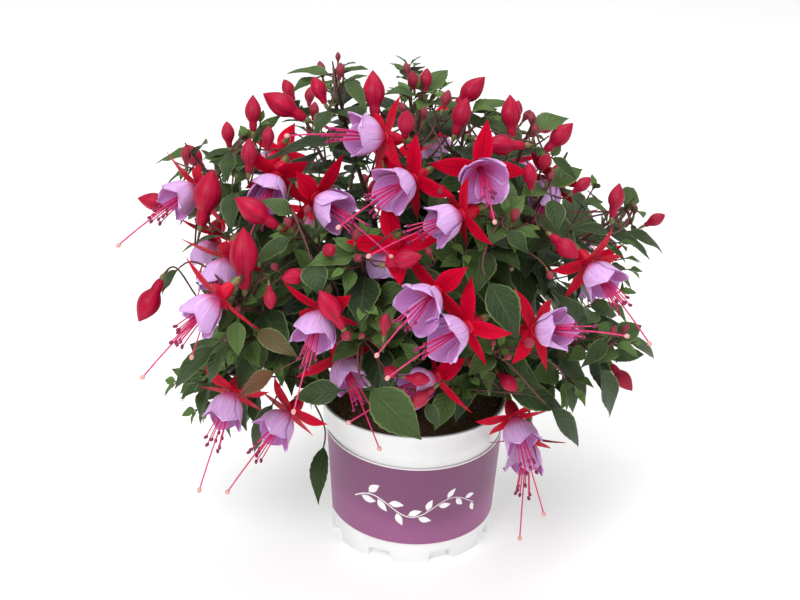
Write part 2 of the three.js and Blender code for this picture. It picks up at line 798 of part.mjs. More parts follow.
// The lilac bell of a bloom: four overlapping petals as a lobed cup, with its brush of threads.
function corollaSolid({ hub, frame, roll }) {
  const { corolla, corollaRadius } = BLOOM;
  const spot = (along, radius, turn) =>
    hub
      .clone()
      .addScaledVector(frame.axis, along)
      .addScaledVector(frame.across, radius * Math.cos(turn))
      .addScaledVector(frame.other, radius * Math.sin(turn));
  // Each level gives its place and radius at the middle of a petal, and between two petals.
  const belly = corollaRadius * COROLLA.bellyRadius;
  const levels = [
    { along: [COROLLA.seat, COROLLA.seat], radius: [COROLLA.neck, COROLLA.neck] },
    {
      along: [corolla * COROLLA.bellyAt, corolla * COROLLA.bellyAt],
      radius: [belly, belly * COROLLA.bellyNotch],
    },
    {
      along: [corolla, corolla * COROLLA.notchAt],
      radius: [corollaRadius, corollaRadius * COROLLA.notchRadius],
    },
    {
      along: [corolla * COROLLA.throatAt, corolla * COROLLA.throatAt],
      radius: [COROLLA.throat, COROLLA.throat],
    },
  ];
  const points = [];
  levels.forEach(({ along, radius }) => {
    for (let k = 0; k < COROLLA.sides; k += 1) {
      const turn = roll + Math.PI / 4 + (2 * Math.PI * k) / COROLLA.sides;
      points.push(spot(along[k % 2], radius[k % 2], turn));
    }
  });
  const faces = [];
  for (let k = 0; k < COROLLA.sides; k += 1) {
    const next = (k + 1) % COROLLA.sides;
    for (let level = 1; level < levels.length; level += 1) {
      const a = (level - 1) * COROLLA.sides;
      const b = level * COROLLA.sides;
      faces.push([a + k, a + next, b + next], [a + k, b + next, b + k]);
    }
  }
  const last = (levels.length - 1) * COROLLA.sides;
  for (let k = 2; k < COROLLA.sides; k += 1) {
    faces.push([0, k, k - 1], [last, last + k - 1, last + k]);
  }
  // A thread leans out from the axis and sags; its stations are places along the axis and radii.
  const thread = (turn, start, lean, stations) => {
    const path = stations.map(([along]) => {
      const past = along - THREAD.rootAt;
      return spot(along, start + past * lean, turn).addScaledVector(UP, -THREAD.sag * past * past);
    });
    return tube(path, stations.map(([, radius]) => radius), THREAD.sides, frame.across);
  };
  const stamens = Array.from({ length: STAMEN.count }, (_, k) => {
    const end = [STAMEN.length - STAMEN.shorter * k, STAMEN.tipRadius];
    const turn = roll + (2 * Math.PI * k) / STAMEN.count;
    return thread(turn, STAMEN.ring, STAMEN.lean, [[THREAD.rootAt, STAMEN.rootRadius], end]);
  });
  const styleEnds = [[THREAD.rootAt, STYLE.rootRadius], [STYLE.length, STYLE.tipRadius]];
  const style = thread(roll, 0, STYLE.lean, styleEnds);
  return joined([solid(points, faces), style, ...stamens]);
}

// ---------------------------------------------------------------- pot, label and soil

const wallSlope = (POT.rimRadius - POT.lipReach - POT.footRadius) / POT.height;
const collarRadius = (z) => POT.footRadius + wallSlope * z;
const bodyRadius = (z) => collarRadius(z) - POT.collarStep;
const innerRadius = (z) => bodyRadius(z) - POT.wall;

function lathe(profile, sides) {
  const flat = profile.map(([radius, z]) => new THREE.Vector2(radius, z));
  return solidOf(new THREE.LatheGeometry(flat, sides), new THREE.Matrix4().makeRotationX(Math.PI / 2));
}

function turnedBox(size, radius, azimuth, z) {
  const place = new THREE.Matrix4()
    .makeRotationZ(degrees(azimuth))
    .multiply(new THREE.Matrix4().makeTranslation(0, -radius, z));
  return solidOf(new THREE.BoxGeometry(...size), place);
}

// The pot: a tapered wall with a turned-out lip and a faint collar, a raised inner corner, a notched
// foot and drain holes.
function potSolid() {
  const { height, floor, lipHeight, rimRadius, cornerRise, cornerReach } = POT;
  const collar = height - POT.collarHeight;
  const collarTop = collar + POT.collarBevel;
  const underLip = height - lipHeight;
  const shell = lathe(
    [
      [0, 0],
      [bodyRadius(0), 0],
      [bodyRadius(collar), collar],
      [collarRadius(collarTop), collarTop],
      [collarRadius(underLip), underLip],
      [rimRadius, underLip],
      [rimRadius, height],
      [innerRadius(height), height],
      [innerRadius(cornerRise), cornerRise],
      [innerRadius(0) - cornerReach, floor],
      [0, floor],
      [0, 0],
    ],
    POT.sides,
  );
  const notches = Array.from({ length: NOTCH.count }, (_, k) => {
    const azimuth = NOTCH.firstAzimuth + (360 / NOTCH.count) * k;
    return turnedBox([NOTCH.width, 2 * NOTCH.depth, 2 * NOTCH.height], bodyRadius(0), azimuth, 0);
  });
  const holes = Array.from({ length: DRAIN.count }, (_, k) => {
    const turn = (2 * Math.PI * k) / DRAIN.count;
    const place = new THREE.Matrix4()
      .makeTranslation(DRAIN.circle * Math.cos(turn), DRAIN.circle * Math.sin(turn), 0)
      .multiply(new THREE.Matrix4().makeRotationX(Math.PI / 2));
    const depth = 4 * floor;
    return solidOf(new THREE.CylinderGeometry(DRAIN.radius, DRAIN.radius, depth, DRAIN.sides), place);
  });
  return [...notches, ...holes].reduce((pot, cut) => pot.subtract(cut), shell);
}

// The label: a straight-cut strip bent round the cone of the wall, so that its ends rise.
function labelSolid() {
  const apex = POT.footRadius / wallSlope;
  const middle = (LABEL.from + LABEL.to) / 2;
  const heightAt = (front, azimuth) => {
    const unrolled = degrees(azimuth - middle) * wallSlope;
    return (front + apex) / Math.cos(unrolled) - apex;
  };
  const points = [];
  for (let i = 0; i <= LABEL.steps; i += 1) {
    const azimuth = THREE.MathUtils.lerp(LABEL.from, LABEL.to, i / LABEL.steps);
    const turn = degrees(azimuth);
    for (const [front, lift] of [[LABEL.bottom, 0], [LABEL.bottom, 1], [LABEL.top, 1], [LABEL.top, 0]]) {
      const z = heightAt(front, azimuth);
      const radius = bodyRadius(z) + LABEL.gap + lift * LABEL.thickness;
      points.push(vec(radius * Math.sin(turn), -radius * Math.cos(turn), z));
    }
  }
  const faces = [[0, 1, 2], [0, 2, 3]];
  for (let i = 0; i < LABEL.steps; i += 1) {
    for (let k = 0; k < 4; k += 1) {
      const a = 4 * i + k;
      const b = 4 * i + ((k + 1) % 4);
      faces.push([a, b + 4, b], [a, a + 4, b + 4]);
    }
  }
  const end = 4 * LABEL.steps;
  faces.push([end, end + 2, end + 1], [end, end + 3, end + 2]);
  return solid(points, faces);
}

// The soil: it fills the pot to a little below the rim, and each cutting stands in a hole in it.
function soilSolid() {
  const { floor, cornerRise, cornerReach } = POT;
  const { gap, top, heap } = SOIL;
  const edge = innerRadius(top) - gap;
  const body = lathe(
    [
      [0, floor + gap],
      [innerRadius(0) - cornerReach - gap, floor + gap],
      [innerRadius(cornerRise) - gap, cornerRise + gap],
      ...heap.map(([share, rise]) => [edge * share, top + rise]),
      [0, floor + gap],
    ],
    SOIL.sides,
  );
  const holes = CUTTINGS.map(({ foot }) => {
    const place = new THREE.Matrix4()
      .makeTranslation(...foot, top)
      .multiply(new THREE.Matrix4().makeRotationX(Math.PI / 2));
    const radius = STEM.footRadius + SOIL.holeSlack;
    const depth = 2 * (SOIL.rootDepth + SOIL.holeSlack);
    return solidOf(new THREE.CylinderGeometry(radius, radius, depth, SOIL.holeSides), place);
  });
  return holes.reduce((soil, hole) => soil.subtract(hole), body);
}

// ---------------------------------------------------------------- finding room

// Every solid that stands already, with the node it belongs to and its box.
const standing = [];

function boxOf(body) {
  const { min, max } = body.boundingBox();
  return new THREE.Box3(vec(...min), vec(...max));
}

function stand(owner, body) {
  standing.push({ owner, body, box: boxOf(body) });
}

function isClear(body, mayTouch = () => false) {
  const box = boxOf(body);
  return standing.every(
    (other) => mayTouch(other.owner) || !box.intersectsBox(other.box) || body.intersect(other.body).isEmpty(),
  );
}

// ---------------------------------------------------------------- bunches

// The knot of a bunch sits against its shoot, as near to the flowers as it has room.
function knotOf(shoot, places) {
  const middle = places.reduce((sum, place) => sum.add(place), vec(0, 0, 0)).divideScalar(places.length);
  const spots = KNOT.shares.map((share) => shoot.at(share));
  spots.sort((a, b) => a.point.distanceTo(middle) - b.point.distanceTo(middle));
  const knots = spots.flatMap(({ point, along }) => {
    const way = middle.clone().sub(point);
    way.addScaledVector(along, -way.dot(along)).normalize();
    const side = along.clone().cross(way);
    return KNOT.reaches.map((reach) => ({ way, side, point: point.clone().addScaledVector(way, reach) }));
  });
  return knots.find((knot) => isClear(knotSolid(knot, KNOT.gap)));
}

function knotSolid({ point }, margin = 0) {
  const place = new THREE.Matrix4().makeTranslation(point);
  return solidOf(new THREE.OctahedronGeometry(KNOT.radius + margin), place);
}

// A flower moves out of the dome, step by step, until it has room.
function withRoom(name, row, make) {
  const { point, slide } = placeOf(row);
  for (const step of SLIDES) {
    for (const bend of STALK.bends) {
      const made = make(point.clone().addScaledVector(slide, step), bend);
      const apart = made.length < 2 || made[0].body.intersect(made[1].body).isEmpty();
      if (apart && made.every(({ body, mayTouch }) => isClear(body, mayTouch))) {
        return made.map(({ body }) => body);
      }
    }
  }
  throw new Error(`no room for ${name}`);
}

function growBunch(bunch, shoot) {
  const owner = `flowers_${bunch.shoot}`;
  const own = (other) => other === owner;
  const rows = [...bunch.blooms, ...bunch.buds];
  const knot = knotOf(shoot, rows.map((row) => placeOf(row).point));
  const red = [knotSolid(knot)];
  stand(owner, red[0]);
  bunch.blooms.forEach((row, k) => {
    const name = `corolla_${bunch.shoot}_${k + 1}`;
    const [body, corolla] = withRoom(name, row, (hub, bend) => {
      const bloom = { hub, frame: flowerFrame(seen(row.faces)), spread: row.spread, roll: degrees(row.roll) };
      return [{ body: bloomRed(bloom, knot, bend), mayTouch: own }, { body: corollaSolid(bloom) }];
    });
    red.push(body);
    stand(owner, body);
    stand(name, corolla);
    addNode(name, corolla, COLOURS.corolla, 0.6);
  });
  bunch.buds.forEach((row, k) => {
    const bud = { length: row.length, frame: flowerFrame(seen(row.faces)), roll: 0 };
    const [body] = withRoom(`bud ${k + 1} of ${bunch.shoot}`, row, (middle, bend) => [
      { body: budSolid({ ...bud, middle }, knot, bend), mayTouch: own },
    ]);
    red.push(body);
    stand(owner, body);
  });
  addNode(owner, joined(red), COLOURS.sepal, 0.45);
}

// ---------------------------------------------------------------- foliage

// The leaves of a shoot, each turned the first way that is clear of everything that stands. A shoot
// over the pot's mouth has only as many pairs as its row says.
function growLeaves(shoot, owner, random) {
  const ownStems = (other) => other === `stem of ${owner}`;
  const ownPlant = (other) => other === owner || ownStems(other);
  const grown = [];
  const isLeafy = (_, order) => LEAF.firstAt + LEAF.spacing * order < shoot.length * LEAF.leafyShare;
  for (const order of LEAF_LENGTHS.slice(0, shoot.pairs).filter(isLeafy).keys()) {
    for (const side of [0, 1]) {
      const jitter = random();
      const leaves = LEAF_WAYS.map((way) => leafOn(shoot, order, side, jitter, way));
      const hasRoom = (one) => isClear(leafRoom(one), ownStems) && isClear(leafSolid(one), ownPlant);
      const leaf = leaves.find(hasRoom);
      if (leaf === undefined) continue;
      const body = leafSolid(leaf);
      stand(owner, body);
      grown.push(body);
    }
  }
  return grown;
}

// ---------------------------------------------------------------- the object

const pot = potSolid();
addNode("pot", pot, COLOURS.pot, 0.4);
stand("pot", pot);
addNode("label", labelSolid(), COLOURS.label, 0.45);
addNode("soil", soilSolid(), COLOURS.soil, 0.95);

const shoots = growCuttings();
const stems = new Map([...shoots].map(([name, shoot]) => [name, stemSolid(shoot)]));
shoots.forEach(({ cutting }, name) => stand(`stem of leafy_stem_${cutting + 1}`, stems.get(name)));
BUNCHES.forEach((bunch) => growBunch(bunch, shoots.get(bunch.shoot)));

const random = seeded(SEED);
CUTTINGS.forEach((_, cutting) => {
  const owner = `leafy_stem_${cutting + 1}`;
  const own = [...shoots].filter(([, shoot]) => shoot.cutting === cutting);
  const leaves = own.flatMap(([, shoot]) => growLeaves(shoot, owner, random));
  addNode(owner, joined([...own.map(([name]) => stems.get(name)), ...leaves]), COLOURS.leaf, 0.6);
});

export default object;
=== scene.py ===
"""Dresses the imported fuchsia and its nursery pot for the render.

The plant follows the same growing rules as its solids: shoots fan out from five cuttings, leaves stand
in pairs along them, and bunches of buds and blooms hang from knots on the shoots. Where a solid had to
turn or move to find room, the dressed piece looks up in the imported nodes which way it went. More twigs
and leaves than the solids hold then fill the dome between them.
"""

import logging
import math
from dataclasses import dataclass, field
from enum import Enum
from functools import partial
from typing import Callable, Iterable, Optional, Sequence

import bmesh
import bpy
import numpy as np
from mathutils import Matrix, Vector
from mathutils.bvhtree import BVHTree
from mathutils.kdtree import KDTree


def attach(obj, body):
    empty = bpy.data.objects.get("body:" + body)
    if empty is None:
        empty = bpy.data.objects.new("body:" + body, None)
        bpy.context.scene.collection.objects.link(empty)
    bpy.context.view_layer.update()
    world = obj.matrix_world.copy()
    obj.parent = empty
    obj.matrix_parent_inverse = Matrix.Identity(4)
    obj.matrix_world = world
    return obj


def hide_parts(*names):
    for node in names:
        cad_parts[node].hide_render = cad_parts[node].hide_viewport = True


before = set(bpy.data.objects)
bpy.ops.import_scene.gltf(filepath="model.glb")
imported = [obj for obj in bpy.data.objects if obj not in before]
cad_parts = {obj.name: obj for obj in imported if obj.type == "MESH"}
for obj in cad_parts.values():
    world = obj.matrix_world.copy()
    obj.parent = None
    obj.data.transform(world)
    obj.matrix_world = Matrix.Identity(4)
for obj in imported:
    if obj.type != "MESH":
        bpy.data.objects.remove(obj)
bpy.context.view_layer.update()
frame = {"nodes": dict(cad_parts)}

LOG = logging.getLogger("fuchsia")
BODY = "root"
MM = 0.001
UP = np.array([0.0, 0.0, 1.0])
QUARTER = math.pi / 2
TURN = 2 * math.pi
Array = np.ndarray
Point = tuple[float, float, float]
Colour = tuple[float, float, float]
Material = bpy.types.Material
Object = bpy.types.Object
Socket = bpy.types.NodeSocket


# ---------------------------------------------------------------- small helpers


def unit(v: Array) -> Array:
    """Returns v at length 1."""
    return v / np.linalg.norm(v)


class Draws:
    """Evenly spread numbers from 0 to 1 that are the same on every run."""

    factor = 1664525
    step = 1013904223
    size = 2**32

    def __init__(self, seed: int) -> None:
        """Starts the row of numbers at a seed."""
        self.state = seed % self.size

    def next(self) -> float:
        """Returns the next number."""
        self.state = (self.state * self.factor + self.step) % self.size
        return self.state / self.size

    def between(self, low: float, high: float) -> float:
        """Returns the next number, spread from low to high."""
        return low + (high - low) * self.next()


class Finish(Enum):
    """The finishes of the plant and its pot."""

    LEAF = "leaf"
    STEM = "stem"
    SEPAL = "sepal"
    OVARY = "ovary"
    PETAL = "petal"
    THREAD = "stamen thread"
    ANTHER = "anther"
    STIGMA = "stigma"
    POT_WHITE = "white pot plastic"
    POT_BLACK = "black pot lining"
    LABEL = "label print"
    ORNAMENT = "label ornament"
    PEAT = "peat"
    FLOOR = "studio floor"


# ---------------------------------------------------------------- the reference view


@dataclass(frozen=True)
class ReferenceView:
    """The camera of the reference picture, in pixels of an 800 by 600 frame and millimetres."""

    width: int = 800
    height: int = 600
    focal: float = 1916.0
    distance: float = 1300.0
    elevation: float = 25.4
    roll: float = -1.5
    aim: Point = (-11.3, 0.0, 175.0)
    sensor_mm: float = 36.0
    far_metres: float = 30.0

    @property
    def back(self) -> Array:
        """The direction from the aim to the eye."""
        e = math.radians(self.elevation)
        return np.array([0.0, -math.cos(e), math.sin(e)])

    @property
    def rise(self) -> Array:
        """The direction up in the picture before its roll."""
        e = math.radians(self.elevation)
        return np.array([0.0, math.sin(e), math.cos(e)])

    @property
    def right(self) -> Array:
        """The direction to the right in the picture."""
        r = math.radians(self.roll)
        return np.array([1.0, 0.0, 0.0]) * math.cos(r) - self.rise * math.sin(r)

    @property
    def up(self) -> Array:
        """The direction up in the picture."""
        r = math.radians(self.roll)
        return self.rise * math.cos(r) + np.array([1.0, 0.0, 0.0]) * math.sin(r)

    @property
    def eye(self) -> Array:
        """Where the camera stands, in millimetres."""
        return np.array(self.aim) + self.back * self.distance

    def seen(self, faces: Sequence[float]) -> Array:
        """Returns a direction given as right, up and towards the viewer."""
        return unit(self.right * faces[0] + self.up * faces[1] + self.back * faces[2])

    def ray(self, u: float, v: float) -> Array:
        """Returns the direction in which the camera sees a pixel."""
        across = self.right * ((u - self.width / 2) / self.focal)
        rise = self.up * ((self.height / 2 - v) / self.focal)
        return unit(across + rise - self.back)

    def project(self, points: Array) -> Array:
        """Finds where points show.

        Args:
            points: One point a row, in millimetres.

        Returns:
            Pixels from the left, pixels from the top and depth, one point a row.
        """
        away = np.atleast_2d(points) - self.eye
        depth = -(away @ self.back)
        u = self.width / 2 + self.focal * (away @ self.right) / depth
        v = self.height / 2 - self.focal * (away @ self.up) / depth
        return np.stack([u, v, depth], axis=1)

    def make_camera(self) -> Object:
        """Makes the scene's camera.

        Returns:
            The camera, which is also set as the scene's own.
        """
        data = bpy.data.cameras.new("camera")
        data.sensor_width = self.sensor_mm
        data.lens = self.focal / self.width * self.sensor_mm
        data.clip_end = self.far_metres
        camera = bpy.data.objects.new("camera", data)
        axes = Matrix((self.right, self.up, self.back)).transposed().to_4x4()
        camera.matrix_world = Matrix.Translation(Vector(self.eye * MM)) @ axes
        bpy.context.scene.collection.objects.link(camera)
        bpy.context.scene.camera = camera
        return camera


VIEW = ReferenceView()


@dataclass(frozen=True)
class Dome:
    """The round outline that the foliage fills."""

    centre: Point = (-12.0, 0.0, 165.0)
    reach: Point = (180.0, 172.0, 178.0)

    def from_view(self, u: float, v: float, share: float) -> tuple[Array, Array]:
        """Finds the point of the dome that a pixel shows.

        Args:
            u: Pixels from the left.
            v: Pixels from the top.
            share: The size of the dome for this point, 1 for full size.

        Returns:
            The point, and the direction in which a flower may slide out from it.
        """
        ray = VIEW.ray(u, v)
        reach = np.array(self.reach) * share
        o = (VIEW.eye - np.array(self.centre)) / reach
        d = ray / reach
        a, b = d @ d, o @ d
        inside = b * b - a * (o @ o - 1.0)
        along = (-b - math.sqrt(inside)) / a if inside > 0 else -b / a
        return VIEW.eye + ray * along, -ray

    def from_angles(self, azimuth: float, elevation: float, share: float) -> tuple[Array, Array]:
        """Finds the point of the dome at an azimuth, 0 at the front, and an elevation.

        Args:
            azimuth: Degrees, 90 at the right side.
            elevation: Degrees above the dome's centre.
            share: The size of the dome for this point, 1 for full size.

        Returns:
            The point, and the direction in which a flower may slide out from it.
        """
        a, e = math.radians(azimuth), math.radians(elevation)
        out = np.array([math.sin(a) * math.cos(e), -math.cos(a) * math.cos(e), math.sin(e)])
        return out * np.array(self.reach) * share + np.array(self.centre), out

    def outward(self, point: Array) -> Array:
        """Returns the direction from the dome's centre to a point."""
        return unit(point - np.array(self.centre))

    def share_of(self, points: Array) -> Array:
        """Returns how far out points lie, 1 on the dome."""
        return np.linalg.norm((np.atleast_2d(points) - self.centre) / np.array(self.reach), axis=1)


DOME = Dome()


# ---------------------------------------------------------------- curves


class Cubic:
    """A cubic Bezier curve that can be walked at an even pace."""

    samples = 200
    nudge = 0.0001

    def __init__(self, *corners: Array) -> None:
        """Measures the curve.

        Args:
            corners: Its four control points.
        """
        self.corners = np.array(corners)
        self.times = np.linspace(0.0, 1.0, self.samples + 1)
        steps = np.linalg.norm(np.diff(self.points(self.times), axis=0), axis=1)
        self.walked = np.concatenate([[0.0], np.cumsum(steps)])
        self.length = float(self.walked[-1])

    def points(self, times: Array) -> Array:
        """Returns the points at the curve's own times, one a row."""
        t = np.atleast_1d(times)[:, None]
        a, b, c, d = self.corners
        return (1 - t) ** 3 * a + 3 * (1 - t) ** 2 * t * b + 3 * (1 - t) * t**2 * c + t**3 * d

    def time_at(self, shares: Array) -> Array:
        """Returns the curve's own times at shares of its length."""
        return np.interp(np.atleast_1d(shares) * self.length, self.walked, self.times)

    def spaced(self, steps: int) -> Array:
        """Returns evenly spaced points, one more than steps."""
        return self.points(self.time_at(np.linspace(0.0, 1.0, steps + 1)))

    def tangent(self, share: float) -> Array:
        """Returns the direction of the curve at a share of its length."""
        time = float(self.time_at(share)[0])
        ends = np.clip([time - self.nudge, time + self.nudge], 0.0, 1.0)
        before, after = self.points(ends)
        return unit(after - before)


def rings_along(path: Array, first_across: Array) -> tuple[Array, Array]:
    """Finds two directions across each point of a path, carried along it without twist.

    Args:
        path: The path's points, one a row.
        first_across: A direction across its start.

    Returns:
        The two directions across, one a row.
    """
    no_length, spare_across = 1e-6, [0.3, 0.9, 0.2]
    ahead = np.vstack([path[1:], path[-1:]]) - np.vstack([path[:1], path[:-1]])
    ahead /= np.linalg.norm(ahead, axis=1)[:, None]
    across = np.array(first_across, dtype=float)
    sides = []
    for along in ahead:
        across = across - along * (across @ along)
        if np.linalg.norm(across) < no_length:
            across = np.cross(along, spare_across)
        across = unit(across)
        sides.append(across)
    sides = np.array(sides)
    return sides, np.cross(ahead, sides)


# ---------------------------------------------------------------- pieces


PLAIN_MARK = (0.5, 0.0, 0.0)
WOODY_MARK = (0.5, 0.25, 0.0)
YOUNG_MARK = (0.5, 0.6, 0.0)


def spread_out(root: Array, *steps: tuple[Array, Array]) -> Array:
    """Returns points at steps from a root, each a direction and how far every point goes along it."""
    points = root
    for way, reach in steps:
        points = points + way * reach[..., None]
    return points


class PieceMesh:
    """Gathers the tubes and blades of one piece, with the finish and the marks of each point.

    Every point has a place and marks that the finishes read. A blade's place is how far along and across
    it the point lies, then 1 on a sepal and 0 elsewhere. A tube's place is how far along, then the cosine
    and sine of its turn. The marks are the tone, the youth and whether it is the underside.
    """

    sharp_angle = 50.0
    ball_shape = np.linspace(0.06, math.pi - 0.06, 7)
    ball_across = (0.31, 0.62, 0.71)

    def __init__(self) -> None:
        """Starts an empty piece."""
        self.points: list[Array] = []
        self.places: list[Array] = []
        self.marks: list[Array] = []
        self.faces: list[Sequence[int]] = []
        self.finishes: list[Finish] = []
        self.count = 0

    def add_points(self, points: Array, places: Array, marks: Array) -> Array:
        """Adds points.

        Args:
            points: The points in millimetres, with three numbers in the last axis.
            places: Their places, in the same shape.
            marks: Their marks, in the same shape or one for all.

        Returns:
            The number of each point, in the shape of the points' first axes.
        """
        shape = points.shape[:-1]
        total = int(np.prod(shape))
        self.points.append(points.reshape(-1, 3))
        self.places.append(np.broadcast_to(places, points.shape).reshape(-1, 3))
        self.marks.append(np.broadcast_to(marks, points.shape).reshape(-1, 3))
        numbers = np.arange(self.count, self.count + total).reshape(shape)
        self.count += total
        return numbers

    def add_faces(self, faces: Iterable[Sequence[int]], finish: Finish) -> None:
        """Adds faces of one finish."""
        listed = list(faces)
        self.faces.extend(listed)
        self.finishes.extend([finish] * len(listed))

    def add_grid(self, numbers: Array, finish: Finish) -> None:
        """Adds the faces between the rows and columns of a grid of point numbers."""
        a, b = numbers[:-1, :-1].ravel(), numbers[:-1, 1:].ravel()
        c, d = numbers[1:, 1:].ravel(), numbers[1:, :-1].ravel()
        self.add_faces(np.stack([a, b, c, d], axis=1).tolist(), finish)

    def add_rings(
        self, points: Array, places: Array, mark: Sequence[float], stretches: Sequence[tuple[int, Finish]],
    ) -> None:
        """Adds a closed body of rings, with a cap at either end.

        Args:
            points: The rings' points, one ring a row.
            places: Their places.
            mark: The marks of all points.
            stretches: The rings from which a finish starts, from ring 0, each with its finish.
        """
        numbers = self.add_points(points, places, np.array(mark, dtype=float))
        closed = np.concatenate([numbers, numbers[:, :1]], axis=1)
        stops = [*[ring for ring, _ in stretches[1:]], len(points) - 1]
        for (start, finish), stop in zip(stretches, stops):
            self.add_grid(closed[start : stop + 1], finish)
        self.add_faces([numbers[0, ::-1].tolist()], stretches[0][1])
        self.add_faces([numbers[-1].tolist()], stretches[-1][1])

    def tube(
        self, path: Array, radii: Sequence[float], *stretches: tuple[int, Finish], sides: int = 8,
        mark: Sequence[float] = PLAIN_MARK, first_across: Sequence[float] = (1.0, 0.0, 0.0),
        flutes: tuple[int, float] = (0, 0.0),
    ) -> None:
        """Adds a closed tube with its own radius at each point of its path.

        Args:
            path: The points along it, one a row.
            radii: Its radius at each.
            stretches: The rings from which a finish starts, from ring 0, each with its finish.
            sides: Corners of each ring.
            mark: The marks of its points.
            first_across: The direction of the first corner.
            flutes: How many hollows run along it, and how deep as a share of the radius.
        """
        across, other = rings_along(path, np.array(first_across))
        turns = np.linspace(0.0, TURN, sides, endpoint=False)
        wave = 1.0 - flutes[1] * (0.5 + 0.5 * np.cos(flutes[0] * turns)) if flutes[0] else np.ones(sides)
        reach = np.asarray(radii, dtype=float)[:, None] * wave[None, :]
        out = across[:, None] * np.cos(turns)[None, :, None] + other[:, None] * np.sin(turns)[None, :, None]
        points = path[:, None] + out * reach[..., None]
        along = np.linspace(0.0, 1.0, len(path))[:, None]
        places = np.stack(np.broadcast_arrays(along, np.cos(turns), np.sin(turns)), axis=-1)
        self.add_rings(points, places, mark, stretches)

    def blade(self, upper: Array, under: Array, places: Array, mark: Sequence[float], finish: Finish) -> None:
        """Adds a thin closed blade from its two faces, which share their edge.

        Args:
            upper: The points of the upper face, in rows and columns.
            under: The points of the underside, in the same rows and columns.
            places: The places of the points.
            mark: The tone and the youth of the blade.
            finish: Its finish.
        """
        top = self.add_points(upper, places, np.array([*mark, 0.0]))
        low = top.copy()
        low[1:-1, 1:-1] = self.add_points(under[1:-1, 1:-1], places[1:-1, 1:-1], np.array([*mark, 1.0]))
        self.add_grid(top, finish)
        self.add_grid(low[:, ::-1], finish)

    def ball(self, centre: Array, axis: Array, length: float, radius: float, finish: Finish) -> None:
        """Adds a rounded body of a length and a radius along an axis through its centre."""
        path = centre + axis * (-np.cos(self.ball_shape) * length / 2)[:, None]
        first = np.cross(axis, self.ball_across)
        self.tube(path, np.sin(self.ball_shape) * radius, (0, finish), first_across=first)

    def make(self, name: str) -> Object:
        """Makes the piece.

        Args:
            name: The piece's name.

        Returns:
            The Blender object, linked to the scene.
        """
        mesh = bpy.data.meshes.new(name)
        mesh.from_pydata((np.concatenate(self.points) * MM).tolist(), [], self.faces)
        for label, rows in (("place", self.places), ("mark", self.marks)):
            attribute = mesh.attributes.new(label, "FLOAT_VECTOR", "POINT")
            attribute.data.foreach_set("vector", np.concatenate(rows).astype(np.float32).ravel())
        used = [finish for finish in Finish if finish in set(self.finishes)]
        for finish in used:
            mesh.materials.append(PALETTE[finish])
        slots = {finish: number for number, finish in enumerate(used)}
        mesh.polygons.foreach_set("material_index", [slots[finish] for finish in self.finishes])
        work = bmesh.new()
        work.from_mesh(mesh)
        bmesh.ops.recalc_face_normals(work, faces=work.faces)
        work.to_mesh(mesh)
        work.free()
        mesh.polygons.foreach_set("use_smooth", [True] * len(mesh.polygons))
        mesh.set_sharp_from_angle(angle=math.radians(self.sharp_angle))
        made = bpy.data.objects.new(name, mesh)
        bpy.context.scene.collection.objects.link(made)
        return made


def hand_in(piece: Object, nodes: Sequence[str]) -> Object:
    """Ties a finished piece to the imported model.

    Args:
        piece: The piece.
        nodes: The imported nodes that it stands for.

    Returns:
        The piece.
    """
    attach(piece, BODY)
    if nodes:
        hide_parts(*nodes)
    faces, node_names = len(piece.data.polygons), ", ".join(nodes) or "no node"
    LOG.info("%s: %d faces, stands for %s", piece.name, faces, node_names)
    return piece


def corners_of(node: Object) -> Array:
    """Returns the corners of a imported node, in millimetres, one a row."""
    flat = np.empty(3 * len(node.data.vertices), dtype=np.float32)
    node.data.vertices.foreach_get("co", flat)
    return flat.reshape(-1, 3).astype(float) / MM


class PackedNode:
    """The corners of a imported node, to find out where its parts went."""

    slack = 0.12

    def __init__(self, name: str) -> None:
        """Reads the node of a name."""
        corners = corners_of(frame["nodes"][name])
        self.tree = KDTree(len(corners))
        for number, corner in enumerate(corners):
            self.tree.insert(corner, number)
        self.tree.balance()

    def gap(self, spot: Array) -> float:
        """Returns how far the nearest corner is from a spot, in millimetres."""
        return self.tree.find(spot)[2]

    def hits(self, spots: Iterable[Array]) -> int:
        """Returns how many of the spots have a corner within the slack."""
        return sum(self.gap(spot) < self.slack for spot in spots)


# ---------------------------------------------------------------- finishes


def colour(red: int, green: int, blue: int) -> Colour:
    """Returns a screen colour, 0 to 255 each, as light."""
    shares = (value / 255 for value in (red, green, blue))
    return tuple(c / 12.92 if c <= 10 / 255 else ((c + 0.055) / 1.055) ** 2.4 for c in shares)


class Wire:
    """A number or a colour that leaves a node of a material; sums on it add the nodes they need."""

    def __init__(self, shader: "Shader", socket: Socket) -> None:
        """Keeps the socket that it leaves from."""
        self.shader, self.socket = shader, socket

    def math(self, work: str, *others: "Wire | float") -> "Wire":
        """Returns the result of a sum on this and other numbers."""
        return self.shader.node("Math", dict(enumerate((self, *others))), operation=work)

    def __add__(self, other: "Wire | float") -> "Wire":
        """Returns the sum of two."""
        return self.math("ADD", other)

    def __sub__(self, other: "Wire | float") -> "Wire":
        """Returns the first less the second."""
        return self.math("SUBTRACT", other)

    def __mul__(self, other: "Wire | float") -> "Wire":
        """Returns the product of two."""
        return self.math("MULTIPLY", other)

    def __abs__(self) -> "Wire":
        """Returns the number without its sign."""
        return self.math("ABSOLUTE")

    def off_half(self) -> "Wire":
        """Returns how far the number's part behind the point is from a half."""
        return abs(self.math("FRACT") - 0.5)


